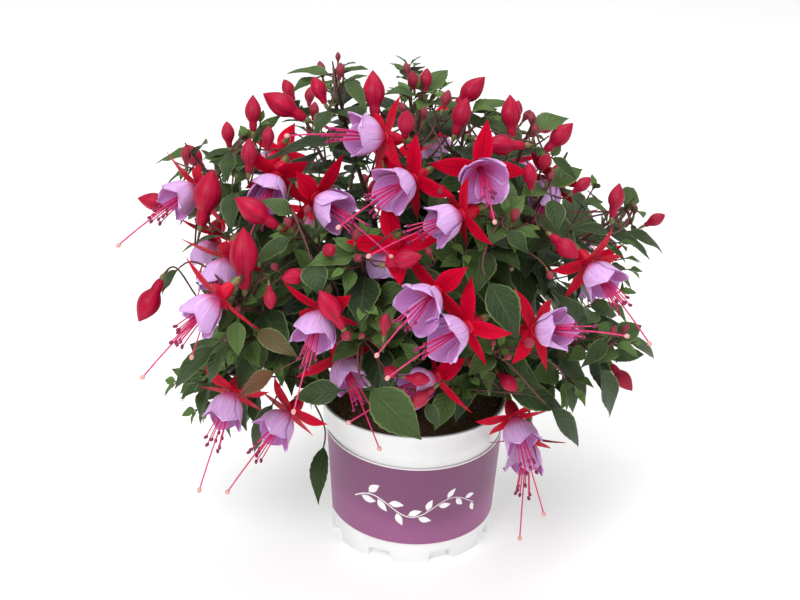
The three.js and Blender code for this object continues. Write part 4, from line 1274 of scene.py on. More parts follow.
BUNCHES = tuple(
    BunchRow(name, tuple(BloomRow(*bloom) for bloom in blooms), tuple(BudRow(*bud) for bud in buds), behind)
    for name, behind, blooms, buds in (
        ("left_top", False, [((197, 187, 0.97), (-0.73, -0.52, 0.4), 78, 51)], [
            ((207, 197, 1), (0.22, 0.95, 0.2), 36), ((156, 202, 0.96), (-0.97, 0.2, 0.1), 25)]),
        ("left_shoulder", False, [((277, 176, 0.86), (-0.3, -0.7, 0.5), 80, 37)], [
            ((253, 113, 1), (0, 1, 0.1), 23), ((249, 155, 1), (0.05, 0.95, 0.3), 22)]),
        ("crown_left", False, [((385, 138, 1), (-0.93, 0.06, 0.36), 84, 79, 1.5)], [
            ((284, 106, 0.96), (-0.85, 0.5, 0.1), 31)]),
        ("crown_middle", False, [((413, 179, 0.98), (-0.7, -0.42, 0.58), 86, 82, 2.5)], [
            ((374, 94, 0.95), (-0.05, 1, 0), 30), ((406, 124, 1.02), (0.05, 0.6, 0.75), 23)]),
        ("crown_right", False, [((480, 169, 1), (0.1, -0.48, 0.87), 88, 85, 4.0),
            ((462, 215, 0.97), (-0.88, -0.33, 0.32), 86, 72)], [((470, 92, 0.96), (0.7, 0.7, 0.1), 27),
            ((461, 116, 0.99), (0.3, 0.9, 0.2), 24), ((503, 145, 0.97), (-1, 0, 0.2), 27)]),
        ("right_top", False, [], [((511, 116, 0.97), (-0.05, 1, 0.1), 27),
            ((559, 137, 0.98), (0.7, 0.7, 0.1), 25)]),
        ("right_shoulder", False, [((553, 180, 0.85), (-0.3, -0.55, 0.2), 84, 10)], []),
        ("right_far", False, [((589, 264, 0.98), (0.53, -0.7, 0.47), 82, 81)], [
            ((616, 200, 1), (0.2, 1, 0.1), 22), ((565, 247, 1.02), (0.6, -0.55, 0.5), 24)]),
        ("front_brow", False, [((316, 197, 0.93), (0.72, -0.52, 0.45), 86, 45)], [
            ((256, 212, 1), (-0.8, 0.55, 0.2), 31), ((244, 258, 1), (0, 0.95, 0.25), 38)]),
        ("front_left", False, [((393, 245, 0.92), (-0.2, -0.45, -0.85), 92, 5)], [
            ((404, 260, 1), (0.85, 0.2, 0.4), 24)]),
        ("left_face", False, [((227, 258, 0.97), (-0.32, -0.9, 0.3), 84, 66),
            ((219, 297, 0.98), (-0.7, -0.68, 0.2), 84, 51)], [((150, 301, 1), (-0.45, -0.85, 0.1), 30)]),
        ("front_middle", False, [((322, 310, 0.9), (-0.26, -0.88, 0.4), 86, 44, 1.5),
            ((340, 356, 0.68), (0.35, -0.75, 0.4), 76, 20)], [((331, 309, 1), (-0.45, 0.75, 0.4), 28)]),
        ("front_right", False, [((436, 291, 0.93), (-0.56, -0.52, 0.64), 86, 48, 4.0),
            ((467, 327, 0.95), (-0.76, -0.38, 0.52), 98, 8, 3.5),
            ((535, 330, 0.92), (0.82, 0.02, 0.56), 84, 18)], []),
        ("rim_right", False, [((436, 377, 0.7), (-0.85, -0.35, 0.35), 100, 40)], [
            ((421, 398, 0.8), (-0.75, -0.6, 0.3), 20)]),
        ("right_low", False, [((514, 417, 0.66), (0.28, -0.9, 0.32), 82, 79),
            ((527, 438, 0.54), (-0.1, -0.97, 0.2), 76, 30)], [((622, 378, 0.93), (0.6, -0.75, 0.1), 21)]),
        ("left_low", False, [((233, 392, 0.82), (-0.32, -0.88, 0.34), 84, 18),
            ((290, 412, 0.68), (-0.62, -0.7, 0.35), 88, 4, 2.0)], []),
        ("left_back", True, [((-124, 6, 0.9), (-0.3, -0.9, -0.35), 90, 15)], [
            ((-112, 30, 0.99), (-0.5, 0.7, -0.3), 24)]),
        ("back_left", True, [((-146, 23, 0.96), (-0.4, -0.6, -0.7), 88, 55),
            ((-157, 4, 0.94), (-0.2, -0.85, -0.5), 88, 75)], []),
        ("back_low", True, [((-178, 18, 0.95), (0.1, -0.7, -0.7), 84, 25)], []),
        ("back_right", True, [((151, 22, 0.96), (0.4, -0.6, -0.7), 88, 65),
            ((134, 8, 0.95), (0.6, -0.75, -0.4), 86, 35)], [((138, 34, 1), (0.6, 0.4, -0.6), 25)]),
        ("back_middle", True, [((172, 28, 0.96), (0.1, -0.65, -0.7), 88, 5)], []),
        ("right_back", True, [((121, 3, 0.9), (0.25, -0.9, -0.35), 84, 60)], []),
    )
)

# Small buds: pixel across and down, share of the dome, length, and the way each points.
SMALL_BUDS: tuple[tuple[float, ...], ...] = (
    (186, 155, 1.0, 13, 0, 1, 0.1), (228, 134, 1.0, 16, -0.1, 1, 0.1), (268, 138, 0.98, 15, 0.1, 1, 0.1),
    (321, 69, 0.98, 11, -0.2, 1, 0), (340, 71, 1.0, 11, 0.1, 1, 0.1), (338, 57, 1.0, 7, 0, 1, 0),
    (319, 90, 0.98, 18, -0.4, 0.9, 0.1), (407, 69, 1.0, 9, -0.2, 1, 0), (413, 80, 1.0, 13, -0.1, 0.7, 0.6),
    (426, 80, 0.98, 15, 0.1, 1, 0), (446, 99, 1.0, 12, 0.3, 0.9, 0), (424, 113, 1.0, 9, 0.1, 0.8, 0.4),
    (403, 108, 1.0, 8, -0.3, 0.8, 0.3), (532, 119, 0.98, 10, 0, 1, 0), (535, 130, 0.98, 9, 0.2, 0.9, 0.2),
    (545, 162, 1.0, 15, 0.2, 0.5, 0.8), (530, 176, 1.0, 17, -0.1, 0.9, 0.4),
    (551, 176, 0.98, 8, 0.4, 0.7, 0.3), (582, 185, 1.0, 15, 0.6, 0.5, 0.4),
    (635, 210, 1.0, 7, 0.2, 0.9, 0.1), (655, 220, 0.99, 15, 0.85, 0.45, 0.1),
    (492, 215, 1.0, 9, -0.2, 0.7, 0.6), (515, 215, 1.0, 11, 0.2, 0.7, 0.6), (441, 191, 1.0, 8, 0, 0.7, 0.6),
    (429, 252, 0.97, 8, -0.3, 0.5, 0.7), (550, 275, 1.0, 9, 0.2, -0.5, 0.8),
    (288, 222, 1.0, 9, -0.3, 0.6, 0.6), (307, 210, 1.0, 8, 0.2, 0.7, 0.5),
    (356, 235, 1.0, 9, 0.1, 0.7, 0.6), (358, 258, 0.98, 9, 0.2, -0.2, 0.9),
    (329, 250, 1.0, 15, 0.2, -0.1, 0.95), (295, 276, 1.0, 18, -0.8, -0.2, 0.5),
    (275, 267, 0.98, 9, -0.3, 0.3, 0.8), (270, 298, 0.98, 15, 0.1, -0.9, 0.4),
    (214, 311, 1.0, 14, -0.6, -0.4, 0.6), (238, 309, 0.98, 7, 0.1, 0.4, 0.8),
    (346, 336, 0.95, 12, 0.2, 0.2, 0.9), (362, 336, 0.93, 7, 0.2, 0.2, 0.9),
    (385, 324, 0.95, 14, 0.1, 0.9, 0.4), (390, 372, 0.84, 15, 0.2, 0.1, 0.95),
    (418, 379, 0.84, 16, 0.9, -0.1, 0.4), (472, 363, 0.84, 11, 0.1, -0.2, 0.9),
    (508, 382, 0.82, 17, 0.6, -0.6, 0.5), (529, 343, 1.0, 12, 0.1, 0.1, 0.95),
    (493, 343, 0.93, 7, 0, 0.5, 0.8), (508, 357, 0.9, 8, 0.3, 0.2, 0.8), (613, 331, 0.96, 8, 0.3, 0.7, 0.3),
    (625, 329, 0.96, 8, 0.5, 0.6, 0.2),
)

SEEN_LEAVES = tuple(LeafRow(*row) for row in (
    ((364, 383), (419, 437), 26.0, 0.86, 0.15, 0.6), ((485, 276), (516, 339), 22.0, 1.0, 0.0, 0.4),
    ((500, 389), (560, 406), 18.0, 0.8), ((347, 390), (290, 397), 19.0, 0.84),
    ((352, 350), (306, 376), 16.0, 0.9), ((253, 328), (297, 356), 13.0, 0.96, 0.0, 1.45),
    ((280, 369), (242, 395), 12.0, 0.9, 0.0, 1.7), ((238, 316), (238, 355), 13.0, 0.99, 0.5, 0.8),
    ((221, 342), (176, 386), 15.0, 0.93), ((224, 346), (211, 383), 11.0, 0.92, 0.0, 0.9),
    ((276, 398), (257, 452), 14.0, 0.7), ((546, 404), (578, 443), 14.0, 0.86),
    ((598, 363), (609, 415), 18.0, 0.95), ((622, 337), (653, 359), 10.0, 0.97, 0.2),
    ((600, 359), (642, 354), 10.0, 0.97, 0.1), ((609, 337), (582, 367), 11.0, 0.97),
    ((565, 378), (572, 412), 10.0, 0.9), ((362, 345), (371, 378), 12.0, 0.93, 0.6, 0.8),
    ((311, 260), (319, 294), 17.0, 0.99), ((295, 236), (253, 267), 14.0, 0.99),
    ((325, 210), (345, 203), 8.0, 1.0, 0.6), ((180, 267), (163, 294), 9.0, 0.97),
    ((237, 222), (190, 243), 12.0, 0.98), ((232, 188), (233, 230), 13.0, 0.98),
    ((182, 184), (165, 220), 12.0, 0.97), ((233, 151), (196, 163), 11.0, 0.98),
    ((230, 152), (229, 181), 11.0, 0.99), ((259, 167), (290, 194), 14.0, 0.99),
    ((330, 108), (314, 143), 16.0, 0.98), ((312, 131), (278, 148), 12.0, 0.98),
    ((321, 76), (293, 93), 10.0, 0.98, 0.2), ((345, 79), (368, 112), 10.0, 0.98, 0.2),
    ((434, 115), (471, 138), 11.0, 0.99), ((418, 146), (393, 178), 13.0, 0.99),
    ((488, 224), (442, 235), 13.0, 0.99), ((504, 228), (527, 254), 12.0, 0.99),
    ((549, 156), (575, 179), 10.0, 0.98), ((551, 196), (557, 231), 14.0, 0.99),
    ((565, 201), (590, 217), 10.0, 0.99), ((611, 233), (568, 230), 11.0, 0.98),
    ((631, 221), (633, 247), 9.0, 0.97), ((622, 231), (661, 253), 11.0, 0.97),
    ((425, 400), (437, 426), 9.0, 0.8), ((325, 440), (318, 502), 14.0, 0.55),
))

# ---------------------------------------------------------------- shoots


@dataclass(frozen=True)
class Growth:
    """How stems run: their thickness and the bend of their curves."""

    fan: Point = (-4.0, 6.0, 105.0)
    soil_top: float = 95.0
    straight: float = 3.0
    root_depth: float = 12.0
    foot_radius: float = 2.7
    branch_radius: float = 1.7
    tip_radius: float = 1.0
    stiffness: float = 0.36
    arch: float = 0.34
    lift: float = 0.25
    step: float = 46.0
    smooth_step: float = 6.0
    tip_pinch: float = 0.5
    swell: float = 0.07
    beat: float = 1.7


GROWTH = Growth()


class Shoot:
    """A shoot with its smooth curve and the straight-stepped path that its solid follows."""

    def __init__(
        self, row: ShootRow, cutting: int, start: Array, first_way: Array, radius: float, buried: bool,
    ) -> None:
        """Grows the shoot.

        Args:
            row: Its row.
            cutting: The number of its cutting, from 0.
            start: Where it starts.
            first_way: The direction in which it starts.
            radius: Its thickness there.
            buried: Whether it goes on down into the soil.
        """
        tip, _ = dome_place(row.tip, row.behind)
        span = np.linalg.norm(tip - start)
        last_way = unit(unit(tip - np.array(GROWTH.fan)) + UP * GROWTH.lift)
        self.name, self.cutting, self.pairs = row.name, cutting, row.pairs
        self.radius, self.buried = radius, buried
        leave, arrive = start + first_way * span * GROWTH.stiffness, tip - last_way * span * GROWTH.arch
        self.curve = Cubic(start, leave, arrive, tip)
        self.length = self.curve.length
        self.steps = max(3, math.floor(self.length / GROWTH.step + 0.5))
        self.path = self.curve.spaced(self.steps)

    def at(self, share: float) -> tuple[Array, Array]:
        """Returns the point of the stepped path and the direction at a share of the length."""
        before = min(math.floor(share * self.steps), self.steps - 1)
        part = share * self.steps - before
        point = self.path[before] * (1 - part) + self.path[before + 1] * part
        return point, self.curve.tangent(share)

    def share_from_tip(self, distance: float) -> float:
        """Returns the share of the length at a distance back from the tip."""
        return max(0.0, 1.0 - distance / self.length)

    def smooth(self, share: float) -> Array:
        """Returns the point of the smooth curve at a share of the length."""
        return self.curve.points(self.curve.time_at(share))[0]

    def dress(self, mesh: PieceMesh) -> None:
        """Adds the shoot's stem, a little swollen where leaves stand."""
        count = max(8, round(self.length / GROWTH.smooth_step))
        path = self.curve.spaced(count)
        shares = np.linspace(0.0, 1.0, count + 1)
        radii = self.radius + (GROWTH.tip_radius - self.radius) * shares
        radii = radii * (1.0 + GROWTH.swell * np.cos(shares * count * GROWTH.beat))
        radii[-1] *= GROWTH.tip_pinch
        if self.buried:
            root = path[0] * [1, 1, 0] + [0, 0, GROWTH.soil_top - GROWTH.root_depth]
            path, radii = np.vstack([root, path]), np.concatenate([[self.radius], radii])
        mesh.tube(path, radii, (0, Finish.STEM), mark=WOODY_MARK)


def grow_shoots() -> dict[str, Shoot]:
    """Grows the shoots of all cuttings.

    Returns:
        The shoots by name.
    """
    shoots: dict[str, Shoot] = {}
    for cutting, (foot, rows) in enumerate(CUTTINGS):
        base = np.array([*foot, GROWTH.soil_top + GROWTH.straight], dtype=float)
        leader = Shoot(rows[0], cutting, base, UP, GROWTH.foot_radius, True)
        shoots[leader.name] = leader
        for row in rows[1:]:
            point, along = leader.at(row.start)
            shoots[row.name] = Shoot(row, cutting, point, along, GROWTH.branch_radius, False)
    return shoots


# ---------------------------------------------------------------- leaves


@dataclass(frozen=True)
class LeafForm:
    """The outline of a leaf from root to tip, and how finely it is built."""

    spots: tuple[float, ...]
    widths: tuple[float, ...]
    rows: int
    columns: int
    teeth: float = 0.028
    petiole_end: float = 0.13

    def stations(self) -> Array:
        """Returns the rows' places along the leaf: a few on its stalk, the rest on its blade."""
        stalk = np.array([0.0, self.petiole_end * 0.5, self.petiole_end * 0.93])
        blade = self.petiole_end + (1.0 - self.petiole_end) * np.linspace(0.02, 1.0, self.rows) ** 1.02
        return np.concatenate([stalk, blade])

    def width_at(self, along: Array) -> Array:
        """Returns the half width at places along the leaf, 1 at its widest, with its teeth."""
        smooth = np.interp(along, self.spots, self.widths)
        teeth = np.where(np.arange(len(along)) % 2 == 0, self.teeth, -self.teeth)
        toothed = (along > 0.2) & (along < 0.94)
        return smooth * (1.0 + np.where(toothed, teeth, 0.0))


OUTLINE_SPOTS = (
    0.0, 0.06, 0.125, 0.15, 0.19, 0.24, 0.3, 0.38, 0.46, 0.55, 0.65, 0.75, 0.84, 0.91, 0.96, 1.0,
)
OUTLINE_WIDTHS = (
    0.06, 0.05, 0.055, 0.2, 0.44, 0.66, 0.83, 0.96, 1.0, 0.96, 0.82, 0.61, 0.38, 0.2, 0.085, 0.012,
)
GROWN_FORM = LeafForm(OUTLINE_SPOTS, OUTLINE_WIDTHS, 17, 7)
SMALL_FORM = LeafForm(OUTLINE_SPOTS, OUTLINE_WIDTHS, 10, 5, 0.05)


@dataclass(frozen=True)
class LeafHabit:
    """How leaves stand on their stems, and the bend of their blades."""

    spacing: float = 23.0
    first_at: float = 5.0
    leafy_share: float = 0.72
    width: float = 0.54
    fold: float = 0.22
    arch: float = 0.16
    droop: float = 0.085
    wave: float = 0.055
    ribs: float = 0.006
    rib_count: float = 8.0
    face_out: float = 0.75
    face_up: float = 0.6
    face_view: float = 0.4
    open_first: float = 48.0
    open_next: float = 7.0
    lie_flat: float = 0.45
    thickness: float = 0.5
    stalk_share: float = 0.16
    stalk_half: float = 0.55
    grown_from: float = 20.0
    tip_youth: float = 0.35
    lengths: tuple[float, ...] = (29.0, 44.0, 52.0)


HABIT = LeafHabit()
LEAF_WAYS = (
    (0, 0, 1), (16, 0, 1), (-16, 0, 1), (0, 14, 1), (0, -14, 1), (28, 8, 0.94), (-28, 8, 0.94),
    (34, -10, 0.9), (-34, -10, 0.9), (10, 24, 0.86), (-10, -24, 0.86), (0, 6, 0.7),
)


@dataclass
class Leaf:
    """A leaf: its root, the directions of its blade, its size and its marks."""

    root: Array
    along: Array
    across: Array
    face: Array
    length: float
    width: float
    tone: float = 0.5
    youth: float = 0.0
    bend: float = 0.0
    phase: float = 0.0
    origin: Optional[Array] = None

    def solid_point(self, along: float, out: float) -> Array:
        """Returns a point of the sheet that the leaf's solid is built on."""
        side = out * self.width / 2
        height = HABIT.fold * abs(side) - HABIT.arch * self.length * along * along
        return self.root + self.along * self.length * along + self.across * side + self.face * height

    def sheet(self, along: Array, out: Array, width: Array) -> Array:
        """Finds points of the leaf's own sheet.

        Args:
            along: Places along the leaf, one a row and column.
            out: Places across it, from -1 to 1.
            width: The half width of each row, 1 at the widest.

        Returns:
            The points, in rows and columns.
        """
        half = self.width / 2
        side = out * width * half
        height = HABIT.fold * (np.sqrt(side**2 + 0.7) - 0.84) - HABIT.arch * self.length * along**2
        wave = np.sin(TURN * (1.7 * along + self.phase) + 1.3 * np.sign(out))
        height += HABIT.wave * self.width * wave * np.abs(out) ** 2 * width
        ribs = np.cos(TURN * HABIT.rib_count * (along - 0.3 * np.abs(out)))
        height += HABIT.ribs * self.width * ribs * np.abs(out) * width
        height -= HABIT.droop * self.length * along**4
        side = side + self.bend * self.length * along**2
        points = spread_out(
            self.root, (self.along, self.length * along), (self.across, side), (self.face, height),
        )
        if self.origin is not None:
            pull = np.clip(1.0 - along / HABIT.stalk_share, 0.0, 1.0) ** 2
            points = points + (self.origin - self.root) * pull[..., None]
        return points

    def rough_sheet(self) -> tuple[Array, list[tuple[int, ...]]]:
        """Returns the points and faces of a rough sheet of the blade, to find room with."""
        along = np.array([HABIT.stalk_share, 0.34, 0.55, 0.78, 1.0])
        width = np.interp(along, OUTLINE_SPOTS, OUTLINE_WIDTHS)
        grid, out = np.meshgrid(along, [-1.0, 0.0, 1.0], indexing="ij")
        points = self.sheet(grid, out, width[:, None]).reshape(-1, 3)
        faces = [(3 * r + c, 3 * r + c + 1, 3 * r + c + 4, 3 * r + c + 3) for r in range(4) for c in range(2)]
        return points, faces

    def dress(self, mesh: PieceMesh) -> None:
        """Adds the leaf's blade, with its stalk, teeth, fold and waves."""
        form = GROWN_FORM if self.length > HABIT.grown_from else SMALL_FORM
        stations = form.stations()
        width = form.width_at(stations)
        width[:3] = np.maximum(width[:3] * self.width / 2, HABIT.stalk_half) / (self.width / 2)
        along, out = np.meshgrid(stations, np.linspace(-1.0, 1.0, form.columns), indexing="ij")
        upper = self.sheet(along, out, width[:, None])
        thick = HABIT.thickness * (1.0 + 1.4 * np.clip(1.0 - along / HABIT.stalk_share, 0.0, 1.0))
        under = upper - self.face * (thick * (1.0 - np.abs(out)) ** 0.5)[..., None]
        places = np.stack([along, out, np.zeros(along.shape)], axis=-1)
        mesh.blade(upper, under, places, (self.tone, self.youth), Finish.LEAF)


def light_at(point: Array) -> Array:
    """Returns the way that a leaf at a point turns its face, before it is made a direction."""
    return DOME.outward(point) * HABIT.face_out + UP * HABIT.face_up


def blade_ways(light: Array, along: Array) -> tuple[Array, Array]:
    """Returns the directions across and out of a leaf that faces the light."""
    across = unit(np.cross(light, along))
    return across, np.cross(along, across)


def leaf_stance(point: Array, tangent: Array, turn: float, opening: float, tilt: float) -> tuple[Array, ...]:
    """Finds how a leaf stands on a stem.

    Args:
        point: Where it stands.
        tangent: The direction of the stem there.
        turn: Its turn round the stem, in degrees.
        opening: Its angle from the stem, in degrees.
        tilt: How far it lifts towards the light, in degrees.

    Returns:
        The directions along it, across it and out of its face.
    """
    light = unit(light_at(point))
    first = unit(np.cross(light, tangent))
    second = np.cross(tangent, first)
    round_, open_ = math.radians(turn), math.radians(opening)
    away = first * math.cos(round_) + second * math.sin(round_)
    along = tangent * math.cos(open_) + away * math.sin(open_)
    along = unit(along + light * (-HABIT.lie_flat * (along @ light) + math.sin(math.radians(tilt))))
    return along, *blade_ways(light, along)


def leaf_on(shoot: Shoot, order: int, side: int, jitter: float, way: Sequence[float]) -> Leaf:
    """Places a leaf of a shoot as its solid is placed.

    Args:
        shoot: The shoot.
        order: The leaf pair, from 0 at the tip.
        side: 0 or 1, the leaf of the pair.
        jitter: A number from 0 to 1 that varies its size and turn.
        way: The turn, the tilt and the size with which it found room.

    Returns:
        The leaf.
    """
    turn, tilt, size = way
    length = HABIT.lengths[min(order, len(HABIT.lengths) - 1)] * (0.88 + 0.24 * jitter) * size
    share = shoot.share_from_tip(HABIT.first_at + HABIT.spacing * order)
    point, tangent = shoot.at(share)
    round_ = 90 * (order % 2) + 180 * side + 40 + 30 * (jitter - 0.5) + turn
    stance = leaf_stance(point, tangent, round_, HABIT.open_first + HABIT.open_next * order, tilt)
    youth = HABIT.tip_youth if order == 0 else 0.0
    return Leaf(
        point, *stance, length, length * HABIT.width, jitter, youth, 0.05 * (jitter - 0.5), jitter * 7.3,
        shoot.smooth(share),
    )


# ---------------------------------------------------------------- flowers


@dataclass(frozen=True)
class FlowerFrame:
    """The directions of a flower: its axis, and two across it."""

    axis: Array
    across: Array
    other: Array

    @classmethod
    def facing(cls, axis: Array) -> "FlowerFrame":
        """Returns the frame of a flower with an axis."""
        level = UP if abs(axis[2]) < 0.98 else np.array([0.0, 1.0, 0.0])
        across = unit(np.cross(level, axis))
        return cls(axis, across, np.cross(axis, across))

    def at(self, turn: float) -> Array:
        """Returns the direction across the axis at a turn round it."""
        return self.across * math.cos(turn) + self.other * math.sin(turn)


@dataclass(frozen=True)
class BloomSizes:
    """The sizes of an open bloom, in millimetres."""

    ovary: float = 6.5
    tube: float = 11.0
    sepal: float = 31.0
    sepal_width: float = 12.5
    sepal_seat: float = 1.4
    sepal_curl: float = 0.12
    sepal_cup: float = 0.9
    sepal_thickness: float = 0.9
    corolla: float = 23.0
    stamens: int = 8
    stamen: float = 39.0
    style: float = 62.0
    thread_root: float = 7.0
    sag: float = 0.0018
    stalk_radius: float = 0.75
    stalk_leave: float = 0.25
    stalk_arrive: float = 0.36
    ruffle: float = 0.5
    petal_half: float = 0.16
    thread_points: int = 12
    stamen_radius: float = 0.42
    style_radius: float = 0.5


SIZES = BloomSizes()
OPEN_SEPAL = -0.5
SLIDES = (0, 4, -4, 8, -8, 12, -12, 16, -16, 20, -20, 25, -25, 30, 36)
BENDS = (0, 0.25, -0.25, 0.5, -0.5)
KNOT_RADIUS = 2.1
KNOT_SHARES = (0.5, 0.57, 0.64, 0.71, 0.78, 0.85, 0.92, 0.97)
KNOT_REACHES = (2, 2.25, 2.5, 2.75, 3, 3.25, 3.5, 3.75, 4, 4.5)


@dataclass(frozen=True)
class Knot:
    """Where the stalks of a bunch leave their shoot."""

    point: Array
    way: Array
    side: Array
    stem: Array

    def stalk(self, bend: float, back: Array, axis: Array) -> Cubic:
        """Returns the curve of a stalk from the knot to the back of a flower."""
        span = np.linalg.norm(back - self.point)
        leave = self.way * SIZES.stalk_leave + self.side * bend
        return Cubic(self.point, self.point + leave * span, back - axis * span * SIZES.stalk_arrive, back)


@dataclass
class Flower:
    """A bloom or a bud: its front, its frame, its stalk and its marks."""

    frame: FlowerFrame
    front: Array
    knot: Knot
    bend: float
    roll: float = 0.0
    youth: float = 0.0
    tone: float = 0.5
    stalk_steps = 14

    def body(
        self, mesh: PieceMesh, rings: Sequence[tuple[float, float]], ovary_ring: int,
        flutes: tuple[int, float],
    ) -> None:
        """Adds the body as one tube, back through the ovary and along the stalk to the knot.

        Args:
            mesh: The piece.
            rings: How far each ring is behind the front, and its radius.
            ovary_ring: The ring at which the ovary starts; the stalk starts at the last.
            flutes: The hollows along it.
        """
        spots = np.array([self.front - self.frame.axis * behind for behind, _ in rings])
        curve = self.knot.stalk(self.bend, spots[-1], self.frame.axis)
        stalk = curve.points(np.linspace(1.0, 0.0, self.stalk_steps + 1))[1:]
        radii = [radius for _, radius in rings] + [SIZES.stalk_radius * 0.85] * len(stalk)
        radii[-1] = SIZES.stalk_radius * 1.3
        stretches = ((0, Finish.SEPAL), (ovary_ring, Finish.OVARY), (len(rings) - 1, Finish.STEM))
        mesh.tube(
            np.vstack([spots, stalk]), radii, *stretches, sides=16, mark=(self.tone, self.youth, 0.0),
            first_across=self.frame.at(self.roll), flutes=flutes,
        )


BUD_SHAPE = (
    (0.0, 0.01), (0.026, 0.03), (0.063, 0.062), (0.125, 0.112), (0.2, 0.163), (0.283, 0.207), (0.367, 0.237),
    (0.45, 0.248), (0.535, 0.24), (0.608, 0.214), (0.672, 0.174), (0.719, 0.138), (0.755, 0.12), (0.8, 0.122),
    (0.87, 0.118), (0.95, 0.1), (1.0, 0.078),
)
SMALL_BUD_SHAPE = (
    (0.0, 0.015), (0.03, 0.06), (0.1, 0.13), (0.2, 0.2), (0.32, 0.26), (0.45, 0.285), (0.57, 0.27),
    (0.68, 0.225), (0.77, 0.17), (0.85, 0.135), (0.93, 0.12), (1.0, 0.105),
)
BUD_OVARY = ((0.3, 1.1), (1.2, 1.3), (2.6, 1.3), (3.8, 1.0), (4.7, 0.6))
BLOOM_SHAPE = (
    (-0.6, 3.4), (0.3, 4.2), (2.0, 4.65), (4.4, 4.75), (6.8, 4.4), (8.8, 3.75), (10.2, 3.05), (11.0, 2.55),
    (11.7, 2.3), (13.0, 2.6), (14.6, 2.55), (16.2, 1.9), (17.5, 0.8),
)
BLOOM_OVARY_RING = 7
SEPAL_SPOTS = (0.0, 0.08, 0.16, 0.25, 0.34, 0.43, 0.52, 0.61, 0.7, 0.79, 0.87, 0.94, 1.0)
SEPAL_WIDTHS = (
    (0, 0.1, 0.25, 0.38, 0.5, 0.65, 0.8, 0.92, 1),
    (0.52, 0.64, 0.88, 1.0, 0.98, 0.8, 0.47, 0.17, 0.015),
)
PETAL_SPOTS = (0.0, 0.06, 0.14, 0.24, 0.36, 0.48, 0.6, 0.71, 0.8, 0.88, 0.94, 0.98, 1.0)
PETAL_FLARE = ((0, 0.1, 0.24, 0.36, 0.55, 0.75, 0.9, 1.0), (2.0, 4.8, 7.8, 9.5, 10.8, 11.5, 12.0, 12.3))
PETAL_HALF = ((0, 0.24, 0.6, 0.71, 0.8, 0.88, 0.94, 0.98, 1.0), (62, 66, 62, 56, 47, 37, 26, 15, 4))


@dataclass
class Bud(Flower):
    """A bud that hangs or stands on its stalk, still closed."""

    length: float = 25.0
    grown_from = 18.0

    def dress(self, mesh: PieceMesh) -> None:
        """Adds the bud."""
        length = self.length
        shape = BUD_SHAPE if length > self.grown_from else SMALL_BUD_SHAPE
        swell = max(0.7, min(1.6, length * 0.055))
        rings = [(length * behind, length * radius) for behind, radius in shape]
        rings += [(length + behind, swell * radius) for behind, radius in BUD_OVARY]
        self.body(mesh, rings, len(shape), (4, 0.07))


